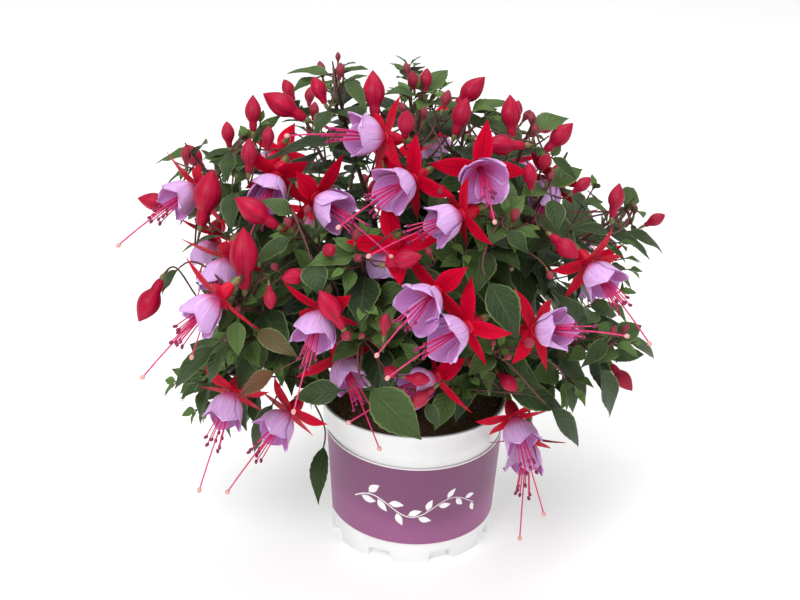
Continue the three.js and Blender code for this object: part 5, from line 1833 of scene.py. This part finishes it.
@dataclass
class Bloom(Flower):
    """An open bloom: four spread sepals, a bell of four petals, eight stamens and a long style."""

    spread: float = 90.0
    flare: float = 0.0
    draws: Draws = field(default_factory=lambda: Draws(1))

    def sepal_tip(self, k: int) -> Array:
        """Returns the tip of a sepal of the bloom's solid."""
        along, _, face = self.sepal_ways(k)
        root = self.front - self.frame.axis * SIZES.sepal_seat
        return root + along * SIZES.sepal + face * SIZES.sepal * SIZES.sepal_curl

    def sepal_ways(self, k: int) -> tuple[Array, Array, Array]:
        """Returns the directions along, across and out of the back of a sepal."""
        out = self.frame.at(self.roll + QUARTER * k)
        lean = math.radians(self.spread)
        along = out * math.sin(lean) + self.frame.axis * math.cos(lean)
        across = np.cross(self.frame.axis, out)
        return along, across, -np.cross(along, across)

    def dress_red(self, mesh: PieceMesh) -> None:
        """Adds the stalk, the ovary, the tube and the sepals."""
        self.body(mesh, BLOOM_SHAPE, BLOOM_OVARY_RING, (4, 0.06))
        for k in range(4):
            self.sepal(mesh, k)

    def sepal(self, mesh: PieceMesh, k: int) -> None:
        """Adds a sepal: a pointed waxy blade with a ridge, curled back a little.

        Args:
            mesh: The piece.
            k: The number of the sepal.
        """
        ways = self.sepal_ways(k)
        widths = np.interp(SEPAL_SPOTS, *SEPAL_WIDTHS)[:, None]
        along, out = np.meshgrid(SEPAL_SPOTS, np.linspace(-1.0, 1.0, 9), indexing="ij")
        twist = self.draws.between(-0.35, 0.35)
        sway = self.draws.between(-0.07, 0.07)
        curl = SIZES.sepal_curl * self.draws.between(0.75, 1.4)
        side = out * widths * SIZES.sepal_width / 2
        back = SIZES.sepal * curl * along**2 - SIZES.sepal_cup * out**2 * widths * np.clip(1.2 - along, 0, 1)
        back = back + side * np.sin(twist * along)
        side = side * np.cos(twist * along) + sway * SIZES.sepal * along**2
        root = self.front - self.frame.axis * SIZES.sepal_seat
        sheet = spread_out(root, *zip(ways, (SIZES.sepal * along, side, back)))
        thick = SIZES.sepal_thickness * np.sqrt(np.clip(1.0 - out**2, 0, 1)) * (1.15 - along * 0.6)
        rise = ways[2] * (thick * 0.5)[..., None]
        places = np.stack([along, out, np.ones(along.shape)], axis=-1)
        mesh.blade(sheet + rise, sheet - rise, places, (self.tone, OPEN_SEPAL), Finish.SEPAL)

    def spot(self, along: Array, radius: Array, turn: Array) -> Array:
        """Returns points of the bell by distance from the front, radius and turn."""
        along, radius, turn = np.broadcast_arrays(along, radius, turn)
        steps = (along, radius * np.cos(turn), radius * np.sin(turn))
        return spread_out(self.front, *zip((self.frame.axis, self.frame.across, self.frame.other), steps))

    def dress_bell(self, mesh: PieceMesh) -> None:
        """Adds the petals, the stamens and the style."""
        for k in range(4):
            self.petal(mesh, k)
        for k in range(SIZES.stamens):
            own = k % 4 == 0
            lean = 0.13 if own else self.draws.between(0.04, 0.2)
            reach = SIZES.stamen - 3 * (k // 4) if own else self.draws.between(0.72, 0.97) * SIZES.stamen
            jitter = 0.0 if own else self.draws.between(-0.25, 0.25)
            self.thread(mesh, self.roll + TURN * k / SIZES.stamens + jitter, 1.3, lean, reach, Finish.ANTHER)
        self.thread(mesh, self.roll, 0.0, 0.02, SIZES.style, Finish.STIGMA)

    def petal(self, mesh: PieceMesh, k: int) -> None:
        """Adds a petal: a broad blade wrapped round the axis, one edge over the next petal's.

        Args:
            mesh: The piece.
            k: The number of the petal.
        """
        flare = np.interp(PETAL_SPOTS, *PETAL_FLARE)[:, None]
        half = np.radians(np.interp(PETAL_SPOTS, *PETAL_HALF))[:, None]
        t, out = np.meshgrid(PETAL_SPOTS, np.linspace(-1.0, 1.0, 13), indexing="ij")
        phase = self.draws.between(0, TURN)
        long = SIZES.corolla * self.draws.between(0.9, 1.06)
        lean = self.flare + self.draws.between(-0.9, 1.5)
        along = 0.5 + long * t * (1.0 - 0.1 * np.abs(out) ** 2.2 * t) + 0.2 * np.sin(5 * out + phase) * t**4
        ruffle = SIZES.ruffle * np.sin(2.2 * math.pi * out + phase) * t**2.5
        radius = flare + lean * t**1.6 + 0.8 * out * np.clip(t * 4, 0, 1) + ruffle
        turn = self.roll + math.pi / 4 + QUARTER * k + half * out
        half_thick = SIZES.petal_half
        outer, inner = (self.spot(along, radius + off, turn) for off in (half_thick, -half_thick))
        places = np.stack([t, out, np.zeros(t.shape)], axis=-1)
        mesh.blade(outer, inner, places, (self.draws.next(), 0.0), Finish.PETAL)

    def thread(
        self, mesh: PieceMesh, turn: float, start: float, lean: float, reach: float, end: Finish,
    ) -> None:
        """Adds a stamen or the style, which sags a little beyond the bell, with its head.

        Args:
            mesh: The piece.
            turn: Its place round the axis.
            start: Its distance from the axis where it starts.
            lean: How far it leans out for each millimetre along.
            reach: Its end, in front of the sepals.
            end: The finish of its head.
        """
        count, is_style = SIZES.thread_points, end is Finish.STIGMA
        along = np.linspace(SIZES.thread_root * 0.3, reach, count)
        past = along - SIZES.thread_root
        path = self.spot(along, start + past * lean * np.clip(past / 10, 0.3, 1.0), np.full(count, turn))
        path = path - UP * (SIZES.sag * np.clip(past, 0, None) ** 2)[:, None]
        radius = SIZES.style_radius if is_style else SIZES.stamen_radius
        mesh.tube(path, [radius] * count, (0, Finish.THREAD), sides=6, first_across=self.frame.across)
        way = unit(path[-1] - path[-2])
        if is_style:
            mesh.ball(path[-1] + way * 0.8, way, 3.6, 1.5, end)
        else:
            mesh.ball(path[-1], unit(way + self.frame.at(turn) * 0.6), 3.4, 1.1, end)


# ---------------------------------------------------------------- bunches


class Bunch:
    """A bunch of blooms and buds on a shoot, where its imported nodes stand."""

    bloom_seed = 1000
    bud_foot = 2.25

    def __init__(self, row: BunchRow, number: int, shoot: Shoot) -> None:
        """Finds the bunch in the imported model.

        Args:
            row: Its row.
            number: The row's number, which turns its blooms.
            shoot: The shoot that it hangs from.
        """
        self.row, self.shoot = row, shoot
        self.red_node = f"flowers_{row.shoot}"
        self.packed = PackedNode(self.red_node)
        self.knot = self.find_knot()
        self.blooms = [self.find_bloom(bloom, k, number) for k, bloom in enumerate(row.blooms)]
        self.buds = [self.find_bud(bud) for bud in row.buds]

    def find_knot(self) -> Knot:
        """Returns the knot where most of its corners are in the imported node."""
        rows = (*self.row.blooms, *self.row.buds)
        middle = np.mean([dome_place(flower.at, self.row.behind)[0] for flower in rows], axis=0)
        best, most = None, -1
        for share in sorted(KNOT_SHARES, key=lambda s: np.linalg.norm(self.shoot.at(s)[0] - middle)):
            point, along = self.shoot.at(share)
            way = middle - point
            way = unit(way - along * (way @ along))
            for reach in KNOT_REACHES:
                centre = point + way * reach
                corners = [centre + np.array(step) * KNOT_RADIUS for step in (*np.eye(3), *-np.eye(3))]
                hits = self.packed.hits(corners)
                if hits > most:
                    best, most = Knot(centre, way, np.cross(along, way), self.shoot.smooth(share)), hits
        return best

    def find_bend(self, back: Array, axis: Array) -> float:
        """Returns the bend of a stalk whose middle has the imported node's corners round it."""
        middles = [self.knot.stalk(bend, back, axis).points(0.5)[0] for bend in BENDS]
        reach = SIZES.stalk_radius + 0.05
        counts = [len(self.packed.tree.find_range(middle, reach)) for middle in middles]
        return BENDS[counts.index(max(counts))]

    def stand(self, row: BloomRow | BudRow) -> tuple[FlowerFrame, list[Array]]:
        """Returns the frame of a flower, and its place at each slide, the nearest first."""
        point, slide = dome_place(row.at, self.row.behind)
        return FlowerFrame.facing(VIEW.seen(row.faces)), [point + slide * step for step in SLIDES]

    def find_bloom(self, row: BloomRow, k: int, number: int) -> Bloom:
        """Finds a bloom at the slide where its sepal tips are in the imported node.

        Args:
            row: Its row.
            k: Its number in the bunch.
            number: The number of the bunch.

        Returns:
            The bloom.
        """
        frame_, fronts = self.stand(row)
        draws = Draws(self.bloom_seed + 17 * number + k)
        roll = math.radians(row.roll)
        tries = [
            Bloom(frame_, front, self.knot, 0.0, roll, 0.0, draws.next(), row.spread, row.flare, draws)
            for front in fronts
        ]
        best = max(tries, key=lambda bloom: self.packed.hits(bloom.sepal_tip(j) for j in range(4)))
        best.bend = self.find_bend(best.front - frame_.axis * (SIZES.tube + SIZES.ovary), frame_.axis)
        return best

    def find_bud(self, row: BudRow) -> Bud:
        """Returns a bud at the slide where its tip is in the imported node."""
        frame_, middles = self.stand(row)
        front = min((middle + frame_.axis * row.length / 2 for middle in middles), key=self.packed.gap)
        back = front - frame_.axis * (row.length + self.bud_foot)
        youth = float(np.clip((33 - row.length) / 22, 0.25, 0.6))
        return Bud(frame_, front, self.knot, self.find_bend(back, frame_.axis), 0.0, youth, 0.5, row.length)

    def dress(self) -> None:
        """Builds the bunch: one piece for its red parts and one for each bell."""
        red, knot = PieceMesh(), self.knot
        stem_side = knot.point + unit(knot.stem - knot.point) * 1.0
        spur = np.array([knot.stem, stem_side, knot.point, knot.point + knot.way * 1.2])
        red.tube(spur, [1.2, 1.5, 1.7, 0.9], (0, Finish.STEM))
        for bud in self.buds:
            bud.dress(red)
        for k, bloom in enumerate(self.blooms):
            bloom.dress_red(red)
            bell = PieceMesh()
            bloom.dress_bell(bell)
            name = f"{self.row.shoot}_{k + 1}"
            hand_in(bell.make(f"bell_{name}"), [f"corolla_{name}"])
        hand_in(red.make(f"bunch_{self.row.shoot}"), [self.red_node])


# ---------------------------------------------------------------- room for more foliage


class Room:
    """What stands already, so that added leaves grow clear of it and hide no flower."""

    flower_clear_px = 9.0
    seen_clear_px = 4.0
    flower_clear = 7.0
    lowest = (60.0, 40.0)
    highest = 350.0
    pot_radius = 67.0
    pot_top = 108.0
    mouth = (322.0, 400.0, 504.0, 590.0)
    bloom_spots = (-8.0, 0.0, 9.0, 18.0)
    sepal_spot = 16.0
    bud_spots = (0.1, 0.4, 0.7)

    def __init__(self, bunches: Sequence[Bunch], buds: Sequence[Bud]) -> None:
        """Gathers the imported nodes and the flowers.

        Args:
            bunches: The bunches whose flowers stay in sight.
            buds: The small buds, which stay in sight as well.
        """
        corners, faces, count = [], [], 0
        for node in frame["nodes"].values():
            corners.append(corners_of(node))
            faces.extend([[count + v for v in face.vertices] for face in node.data.polygons])
            count += len(corners[-1])
        self.packed = BVHTree.FromPolygons(np.concatenate(corners).tolist(), faces)
        self.lows: list[Array] = []
        self.highs: list[Array] = []
        self.sheets: list[BVHTree] = []
        spots = []
        for bunch in bunches:
            for bloom in bunch.blooms:
                spots += [bloom.front + bloom.frame.axis * along for along in self.bloom_spots]
                spots += [bloom.front + bloom.sepal_ways(k)[0] * self.sepal_spot for k in range(4)]
            for bud in bunch.buds:
                spots += [bud.front - bud.frame.axis * bud.length * share for share in self.bud_spots]
        spots += [bud.front - bud.frame.axis * bud.length * 0.5 for bud in buds]
        self.on_screen = VIEW.project(np.array(spots))
        self.outwards = np.array(spots) - DOME.centre
        self.reaches = np.linalg.norm(self.outwards, axis=1)
        self.outwards /= self.reaches[:, None]

    def hides(self, points: Array, seen: bool) -> bool:
        """Tests whether points of a leaf stand in front of a flower, in the reference view or from outside.

        Args:
            points: The points.
            seen: Whether the reference view shows the leaf by itself; only that view is then looked at.

        Returns:
            Whether they hide one.
        """
        screen = VIEW.project(points)
        away = np.linalg.norm(screen[:, None, :2] - self.on_screen[None, :, :2], axis=2)
        nearer = screen[:, None, 2] < self.on_screen[None, :, 2] - 1.0
        if bool(np.any((away < (self.seen_clear_px if seen else self.flower_clear_px)) & nearer)):
            return True
        if seen:
            return False
        out = points - DOME.centre
        reach = np.linalg.norm(out, axis=1)[:, None]
        facing = (out / reach) @ self.outwards.T
        off = np.sqrt(np.clip(1.0 - facing**2, 0, 1)) * reach
        return bool(np.any((off < self.flower_clear) & (facing > 0) & (reach > self.reaches[None, :] + 2.0)))

    def over_mouth(self, points: Array) -> bool:
        """Returns whether points of a leaf show in front of the pot's mouth or its wall."""
        screen = VIEW.project(points)
        left, top, right, bottom = self.mouth
        across, down = screen[:, 0], screen[:, 1]
        inside = (across > left) & (across < right) & (down > top) & (down < bottom)
        return bool(np.any(inside & (points[:, 1] < 0)))

    def is_outside(self, points: Array, reach: float, free: bool) -> bool:
        """Tests whether points leave the dome, sink too low or stand in the pot.

        Args:
            points: The points.
            reach: How far out of the dome they may go, 1 for the dome itself.
            free: Whether they may stand in front of the pot.

        Returns:
            Whether any does.
        """
        height, low = points[:, 2], self.lowest[free]
        if DOME.share_of(points).max() > reach or height.min() < low or height.max() > self.highest:
            return True
        radius = np.hypot(points[:, 0], points[:, 1])
        return bool(np.any((radius < self.pot_radius) & (height < self.pot_top)))

    def fits(self, points: Array, faces: Sequence[Sequence[int]], reach: float, free: bool) -> bool:
        """Tests a sheet, and keeps it if it has room.

        Args:
            points: Its points.
            faces: Its faces.
            reach: How far out of the dome it may go, 1 for the dome itself.
            free: Whether it may stand in front of the pot.

        Returns:
            Whether it has room.
        """
        if self.is_outside(points, reach, free) or self.hides(points, free):
            return False
        if not free and self.over_mouth(points):
            return False
        tree = BVHTree.FromPolygons(points.tolist(), faces)
        if tree.overlap(self.packed):
            return False
        low, high = points.min(axis=0), points.max(axis=0)
        if self.lows:
            near = np.all(np.array(self.lows) < high, axis=1) & np.all(np.array(self.highs) > low, axis=1)
            if any(tree.overlap(self.sheets[number]) for number in np.flatnonzero(near)):
                return False
        self.lows.append(low)
        self.highs.append(high)
        self.sheets.append(tree)
        return True

    def place(
        self, make: Callable[[Sequence[float]], Leaf], ways: Sequence[Sequence[float]], reach: float = 1.0,
        free: bool = False,
    ) -> Optional[Leaf]:
        """Finds the first way in which a leaf has room.

        Args:
            make: Makes the leaf of a way.
            ways: The ways to try.
            reach: How far out of the dome the leaf may go.
            free: Whether it may stand in front of the pot.

        Returns:
            The leaf, or None.
        """
        for way in ways:
            leaf = make(way)
            if self.fits(*leaf.rough_sheet(), reach, free):
                return leaf
        return None

    def place_pair(
        self, make: Callable[..., Leaf], order: int, draws: Draws, reach: float = 1.0,
    ) -> list[Leaf]:
        """Places a pair of leaves where they have room.

        Args:
            make: Makes a leaf from its pair, its side, its jitter and a way.
            order: The number of the pair from the tip.
            draws: Numbers that give each its jitter.
            reach: How far out of the dome the leaves may go.

        Returns:
            Those that found room.
        """
        makers = [partial(make, order, side, draws.next()) for side in (0, 1)]
        leaves = [self.place(maker, TWIGS.ways, reach) for maker in makers]
        return [leaf for leaf in leaves if leaf is not None]


@dataclass(frozen=True)
class TwigHabit:
    """How the side twigs grow that only the dressed plant has."""

    shares: tuple[float, ...] = (0.3, 0.42, 0.54, 0.65, 0.75, 0.84, 0.92)
    golden: float = 137.5
    open: float = 52.0
    outward: float = 0.45
    upward: float = 0.12
    shortest: float = 24.0
    longest: float = 78.0
    shortened_by: float = 3.0
    lowest_tip: float = 112.0
    dome_share: float = 0.9
    tip_share: float = 1.04
    radius: float = 0.8
    tip_radius: float = 0.45
    petiole_radii: tuple[float, float] = (0.85, 0.6)
    pair_gap: float = 12.5
    most_pairs: int = 6
    fewest_leaves: int = 2
    tuft_start: float = 0.985
    tuft_length: float = 6.0
    lower_pairs: tuple[int, ...] = (3, 4, 5, 6)
    lower_share: float = 0.93
    lengths: tuple[float, ...] = (12.0, 20.0, 29.0, 36.0, 40.0, 42.0, 42.0)
    opens: tuple[float, ...] = (24.0, 38.0, 50.0, 58.0, 62.0, 64.0, 66.0)
    ways: tuple[tuple[float, float, float], ...] = (
        (0, 0, 1), (22, 0, 0.95), (-22, 0, 0.95), (0, 16, 0.95), (0, -16, 0.95), (40, 6, 0.85),
        (-40, 6, 0.85), (15, -24, 0.8), (-15, 26, 0.8), (0, 0, 0.65), (60, 0, 0.65), (-60, 0, 0.65),
    )


TWIGS = TwigHabit()


class Twig:
    """A side twig with leaves in pairs and a young tuft at its tip."""

    def __init__(self, start: Array, first_way: Array, tip: Array, turn: float, draws: Draws) -> None:
        """Grows the twig.

        Args:
            start: Where it leaves its stem.
            first_way: The direction in which it leaves.
            tip: Where it ends.
            turn: The turn of its leaf pairs.
            draws: Numbers that vary it.
        """
        span = np.linalg.norm(tip - start)
        last = unit(unit(tip - start) + UP * 0.15 + DOME.outward(tip) * 0.3)
        self.curve = Cubic(start, start + first_way * span * 0.35, tip - last * span * 0.3, tip)
        self.turn, self.draws = turn, draws
        self.leaves: list[Leaf] = []

    def leaf(self, order: int, side: int, jitter: float, way: Sequence[float]) -> Leaf:
        """Makes a leaf of the twig.

        Args:
            order: Its pair, from 0 at the tip.
            side: 0 or 1, the leaf of the pair.
            jitter: A number from 0 to 1 that varies its size and turn.
            way: The turn, the tilt and the size to try it with.

        Returns:
            The leaf.
        """
        turn, tilt, size = way
        number = min(order, len(TWIGS.lengths) - 1)
        length = TWIGS.lengths[number] * (0.85 + 0.3 * jitter) * size
        share = max(0.04, 1.0 - (1.0 + TWIGS.pair_gap * order) / self.curve.length)
        point = self.curve.points(self.curve.time_at(share))[0]
        round_ = self.turn + 90 * (order % 2) + 180 * side + 40 * (jitter - 0.5) + turn
        stance = leaf_stance(point, self.curve.tangent(share), round_, TWIGS.opens[number], tilt)
        youth = float(np.clip(0.95 - 0.38 * order, 0.0, 1.0))
        width = length * HABIT.width * (0.94 + 0.12 * jitter)
        return Leaf(point, *stance, length, width, jitter, youth, 0.12 * (jitter - 0.5), 5.1 * jitter)

    def grow(self, room: Room) -> bool:
        """Places the twig's leaves where they have room.

        Args:
            room: What stands already.

        Returns:
            Whether it has enough leaves to be kept.
        """
        pairs = int((self.curve.length - 3.0) // TWIGS.pair_gap) + 1
        for order in range(min(pairs, TWIGS.most_pairs)):
            self.leaves += room.place_pair(self.leaf, order, self.draws)
        return len(self.leaves) >= TWIGS.fewest_leaves

    def dress(self, mesh: PieceMesh) -> None:
        """Adds the twig and its leaves."""
        path = self.curve.spaced(max(6, round(self.curve.length / 5)))
        radii = np.linspace(TWIGS.radius, TWIGS.tip_radius, len(path))
        mesh.tube(path, radii, (0, Finish.STEM), sides=6, mark=YOUNG_MARK)
        for leaf in self.leaves:
            leaf.dress(mesh)


class Stems:
    """The curves of all shoots, to find the stem nearest to a spot."""

    shares = np.linspace(0.2, 1.0, 81)

    def __init__(self, shoots: dict[str, Shoot]) -> None:
        """Gathers points along the shoots."""
        self.shoots = list(shoots.values())
        curves = [shoot.curve for shoot in self.shoots]
        self.points = np.stack([curve.points(curve.time_at(self.shares)) for curve in curves])

    def nearest(self, spot: Array) -> tuple[Shoot, float]:
        """Returns the shoot that is nearest to a spot, and the share of its length there."""
        away = np.linalg.norm(self.points - spot, axis=2)
        shoot, place = np.unravel_index(int(np.argmin(away)), away.shape)
        return self.shoots[shoot], float(self.shares[place])


def small_bud(stems: Stems, spot: Array, axis: Array, length: float) -> tuple[int, Bud]:
    """Makes a small bud on a stalk from the nearest stem.

    Args:
        stems: The shoots.
        spot: The bud's middle.
        axis: The way it points.
        length: Its length.

    Returns:
        The number of its cutting, and the bud.
    """
    shoot, share = stems.nearest(spot - axis * length)
    point, along = shoot.smooth(share), shoot.curve.tangent(share)
    way = spot - point
    way = unit(way - along * (way @ along) * 0.7)
    knot = Knot(point, way, unit(np.cross(along, way)), point)
    youth = float(np.clip((21.0 - length) / 12.0, 0.25, 0.95))
    front = spot + axis * length / 2
    return shoot.cutting, Bud(FlowerFrame.facing(axis), front, knot, 0.0, 0.0, youth, 0.5, length)


def seen_leaf(row: LeafRow, share: float, size: float, narrow: float) -> Leaf:
    """Makes a leaf whose blade runs from one pixel of the reference view to another.

    Args:
        row: Its row.
        share: How far in it lies, 1 on the dome.
        size: Its length as a share of the full one.
        narrow: Its width as a share of the full one.

    Returns:
        The leaf.
    """
    root, _ = DOME.from_view(*row.root, share)
    tip, _ = DOME.from_view(*row.tip, share)
    ray = VIEW.ray(*row.tip)
    nearest = tip + ray * ((root - tip) @ ray)
    while np.linalg.norm(tip - root) > HABIT.lengths[-1]:
        tip = tip * 0.9 + nearest * 0.1
    span = (tip - root) * size
    reach = float(np.linalg.norm(span))
    light = unit(light_at(root + span / 2) + VIEW.back * HABIT.face_view)
    _, face = blade_ways(light, unit(span))
    along = unit(span + face * (HABIT.arch + HABIT.droop) * reach)
    ways = (along, *blade_ways(light, along))
    jitter = (row.root[0] * 0.37 + row.tip[1] * 0.21) % 1.0
    sway = (0.08 * (jitter - 0.5), 5.1 * jitter)
    return Leaf(root, *ways, reach * 1.02, row.width * narrow, row.tone, row.youth, *sway)


@dataclass
class Growing:
    """What grows on one cutting beside its shoots."""

    leaves: list[Leaf] = field(default_factory=list)
    twigs: list[Twig] = field(default_factory=list)
    petioles: list[Cubic] = field(default_factory=list)
    buds: list[Bud] = field(default_factory=list)


class Foliage:
    """The leafy stems of the plant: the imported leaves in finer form, and twigs that fill the dome."""

    seed = 20811
    twig_seed = 5077
    bud_seed = 311
    packed_slack = 0.3
    hidden_from = 30.0
    hidden_buds = 4
    seen_slides = (0, -0.02, 0.02, -0.04, 0.035, -0.06, -0.08, -0.11, -0.15)
    seen_sizes = ((1, 1), (0.9, 0.85), (0.8, 0.7))

    def __init__(self, shoots: dict[str, Shoot], bunches: Sequence[Bunch]) -> None:
        """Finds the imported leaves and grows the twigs.

        Args:
            shoots: The shoots by name.
            bunches: The bunches of flowers.
        """
        self.shoots = shoots
        self.stems = Stems(shoots)
        self.cuttings = [Growing() for _ in CUTTINGS]
        self.room = Room(bunches, self.grow_buds())
        self.find_packed_leaves()
        self.place_seen_leaves()
        self.grow_tips()
        self.grow_twigs()

    def find_packed_leaves(self) -> None:
        """Finds each leaf of the solids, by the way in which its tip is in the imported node."""
        draws, found, asked = Draws(self.seed), 0, 0
        for cutting, growing in enumerate(self.cuttings):
            packed = PackedNode(f"leafy_stem_{cutting + 1}")
            for shoot in (s for s in self.shoots.values() if s.cutting == cutting):
                for order in range(shoot.pairs):
                    if HABIT.first_at + HABIT.spacing * order >= shoot.length * HABIT.leafy_share:
                        continue
                    for side in (0, 1):
                        jitter, asked = draws.next(), asked + 1
                        tries = [leaf_on(shoot, order, side, jitter, way) for way in LEAF_WAYS]
                        gaps = [packed.gap(leaf.solid_point(1.0, 0.0)) for leaf in tries]
                        if min(gaps) < self.packed_slack:
                            growing.leaves.append(tries[gaps.index(min(gaps))])
                            found += 1
        LOG.info("found %d packed leaves of %d asked for", found, asked)

    def add_bud(self, spot: Array, axis: Array, length: float) -> Bud:
        """Returns a small bud, once it is given to its cutting."""
        cutting, bud = small_bud(self.stems, spot, axis, length)
        self.cuttings[cutting].buds.append(bud)
        return bud

    def grow_buds(self) -> list[Bud]:
        """Makes the small buds: those of the reference view, and some at the tips of the shoots behind.

        Returns:
            All small buds.
        """
        made = [
            self.add_bud(DOME.from_view(u, v, share)[0], VIEW.seen(faces), length)
            for u, v, share, length, *faces in SMALL_BUDS
        ]
        draws = Draws(self.bud_seed)
        for shoot in self.shoots.values():
            tip, tangent = shoot.smooth(1.0), shoot.curve.tangent(1.0)
            for k in range(self.hidden_buds if tip[1] > self.hidden_from else 0):
                sway = np.array([draws.between(-1, 1), draws.between(-1, 1), draws.between(-0.4, 1)])
                way = unit(tangent + DOME.outward(tip) + sway)
                spot = shoot.smooth(1.0 - 0.05 * k) + way * draws.between(12, 22)
                length = draws.between(8, 17)
                if DOME.outward(spot) @ VIEW.back < -0.1:
                    made.append(self.add_bud(spot, unit(way + UP * 0.3), length))
        return made

    def place_seen_leaves(self) -> None:
        """Places the leaves that the reference view shows by themselves, each on a stalk from its stem."""
        placed = 0
        for row in SEEN_LEAVES:
            ways = [(row.share + slide, *sizes) for sizes in self.seen_sizes for slide in self.seen_slides]
            leaf = self.room.place(lambda way: seen_leaf(row, *way), ways, TWIGS.tip_share, True)
            if leaf is None:
                continue
            placed += 1
            shoot, share = self.stems.nearest(leaf.root - leaf.along * 12)
            start, tangent = shoot.smooth(share), shoot.curve.tangent(share)
            span = float(np.linalg.norm(leaf.root - start))
            leave, arrive = start + tangent * span * 0.4, leaf.root - leaf.along * span * 0.35
            growing = self.cuttings[shoot.cutting]
            growing.petioles.append(Cubic(start, leave, arrive, leaf.root))
            growing.leaves.append(leaf)
        LOG.info("placed %d of %d seen leaves", placed, len(SEEN_LEAVES))

    def grow_tips(self) -> None:
        """Adds the young leaves at the tips of the shoots, and pairs further down them."""
        draws = Draws(self.twig_seed + 1)
        for shoot in self.shoots.values():
            growing = self.cuttings[shoot.cutting]
            for order in TWIGS.lower_pairs:
                if HABIT.first_at + HABIT.spacing * order < shoot.length * TWIGS.lower_share:
                    growing.leaves += self.room.place_pair(partial(leaf_on, shoot), order, draws)
            tip, tangent = shoot.smooth(1.0), shoot.curve.tangent(1.0)
            start, end = shoot.smooth(TWIGS.tuft_start), tip + tangent * TWIGS.tuft_length
            twig = Twig(start, tangent, end, 40.0 + 90 * draws.next(), draws)
            for order in (0, 1):
                twig.leaves += self.room.place_pair(twig.leaf, order, draws, TWIGS.tip_share)
            growing.twigs.append(twig)

    def grow_twigs(self) -> None:
        """Adds side twigs along every shoot, long enough to reach the dome."""
        draws, number = Draws(self.twig_seed), 0
        for share in reversed(TWIGS.shares):
            for shoot in self.shoots.values():
                number += 1
                start, tangent = shoot.smooth(share), shoot.curve.tangent(share)
                side = unit(np.cross(tangent, UP + 0.3 * tangent))
                turn, open_ = math.radians(TWIGS.golden * number), math.radians(TWIGS.open)
                away = side * math.cos(turn) + np.cross(tangent, side) * math.sin(turn)
                first = tangent * math.cos(open_) + away * math.sin(open_)
                way = unit(first + DOME.outward(start) * TWIGS.outward + UP * TWIGS.upward)
                reach = draws.between(TWIGS.shortest + 8, TWIGS.longest)
                while reach > TWIGS.shortest and DOME.share_of(start + way * reach)[0] > TWIGS.dome_share:
                    reach -= TWIGS.shortened_by
                tip = start + way * reach
                if tip[2] < TWIGS.lowest_tip:
                    continue
                twig = Twig(start, first, tip, 360 * draws.next(), draws)
                if twig.grow(self.room):
                    self.cuttings[shoot.cutting].twigs.append(twig)

    def dress(self) -> None:
        """Builds one piece for each cutting, of its stems, twigs and leaves, and one for its small buds."""
        for cutting, growing in enumerate(self.cuttings):
            mesh, small = PieceMesh(), PieceMesh()
            shoots = [shoot for shoot in self.shoots.values() if shoot.cutting == cutting]
            for part in (*shoots, *growing.leaves, *growing.twigs):
                part.dress(mesh)
            for petiole in growing.petioles:
                path = petiole.spaced(max(4, round(petiole.length / 6)))
                radii = np.linspace(*TWIGS.petiole_radii, len(path))
                mesh.tube(path, radii, (0, Finish.STEM), sides=6, mark=YOUNG_MARK)
            LOG.info("cutting %d: %d leaves, %d twigs", cutting + 1, len(growing.leaves), len(growing.twigs))
            hand_in(mesh.make(f"foliage_{cutting + 1}"), [f"leafy_stem_{cutting + 1}"])
            for bud in growing.buds:
                bud.dress(small)
            hand_in(small.make(f"small_buds_{cutting + 1}"), [])


# ---------------------------------------------------------------- studio


@dataclass(frozen=True)
class SoftBox:
    """A large soft lamp that looks at the plant."""

    name: str
    at: tuple[float, float, float]
    size: float
    watts: float

    def build(self) -> None:
        """Adds the lamp."""
        data = bpy.data.lights.new(self.name, "AREA")
        data.shape, data.size, data.energy = "DISK", self.size, self.watts
        lamp = bpy.data.objects.new(self.name, data)
        lamp.location = self.at
        aim = Vector((0.0, 0.0, 0.18)) - Vector(self.at)
        lamp.rotation_euler = aim.to_track_quat("-Z", "Y").to_euler()
        bpy.context.scene.collection.objects.link(lamp)


@dataclass(frozen=True)
class Studio:
    """A pale floor, soft light from above and the front, and the reference camera."""

    floor_half: float = 9.0
    sky: float = 0.45
    boxes: tuple[SoftBox, ...] = (
        SoftBox("key", (-0.7, -1.3, 1.6), 1.1, 26.0),
        SoftBox("fill", (1.3, -1.2, 0.9), 1.2, 6.0),
        SoftBox("top", (0.1, 0.3, 1.9), 1.2, 16.0),
    )

    def build(self) -> None:
        """Builds the studio."""
        mesh = bpy.data.meshes.new("floor")
        h = self.floor_half
        mesh.from_pydata([(-h, -h, 0), (h, -h, 0), (h, h, 0), (-h, h, 0)], [], [(0, 1, 2, 3)])
        mesh.materials.append(PALETTE[Finish.FLOOR])
        floor = bpy.data.objects.new("floor", mesh)
        bpy.context.scene.collection.objects.link(floor)
        for box in self.boxes:
            box.build()
        world = bpy.data.worlds.new("sky")
        world.use_nodes = True
        world.node_tree.nodes["Background"].inputs["Color"].default_value = (1.0, 1.0, 1.0, 1.0)
        world.node_tree.nodes["Background"].inputs["Strength"].default_value = self.sky
        bpy.context.scene.world = world
        bpy.context.scene.view_settings.view_transform = "Standard"
        VIEW.make_camera()


def main() -> None:
    """Builds the pot, the soil, the flowers and the foliage."""
    logging.basicConfig(level=logging.INFO, format="%(message)s")
    Studio().build()
    pot = Pot()
    for part in (pot, Label(pot), Sprig(Label(pot)), Soil(pot)):
        part.build()
    shoots = grow_shoots()
    bunches = [Bunch(row, number, shoots[row.shoot]) for number, row in enumerate(BUNCHES)]
    foliage = Foliage(shoots, bunches)
    for bunch in bunches:
        bunch.dress()
    foliage.dress()


if __name__ == "__main__":
    main()
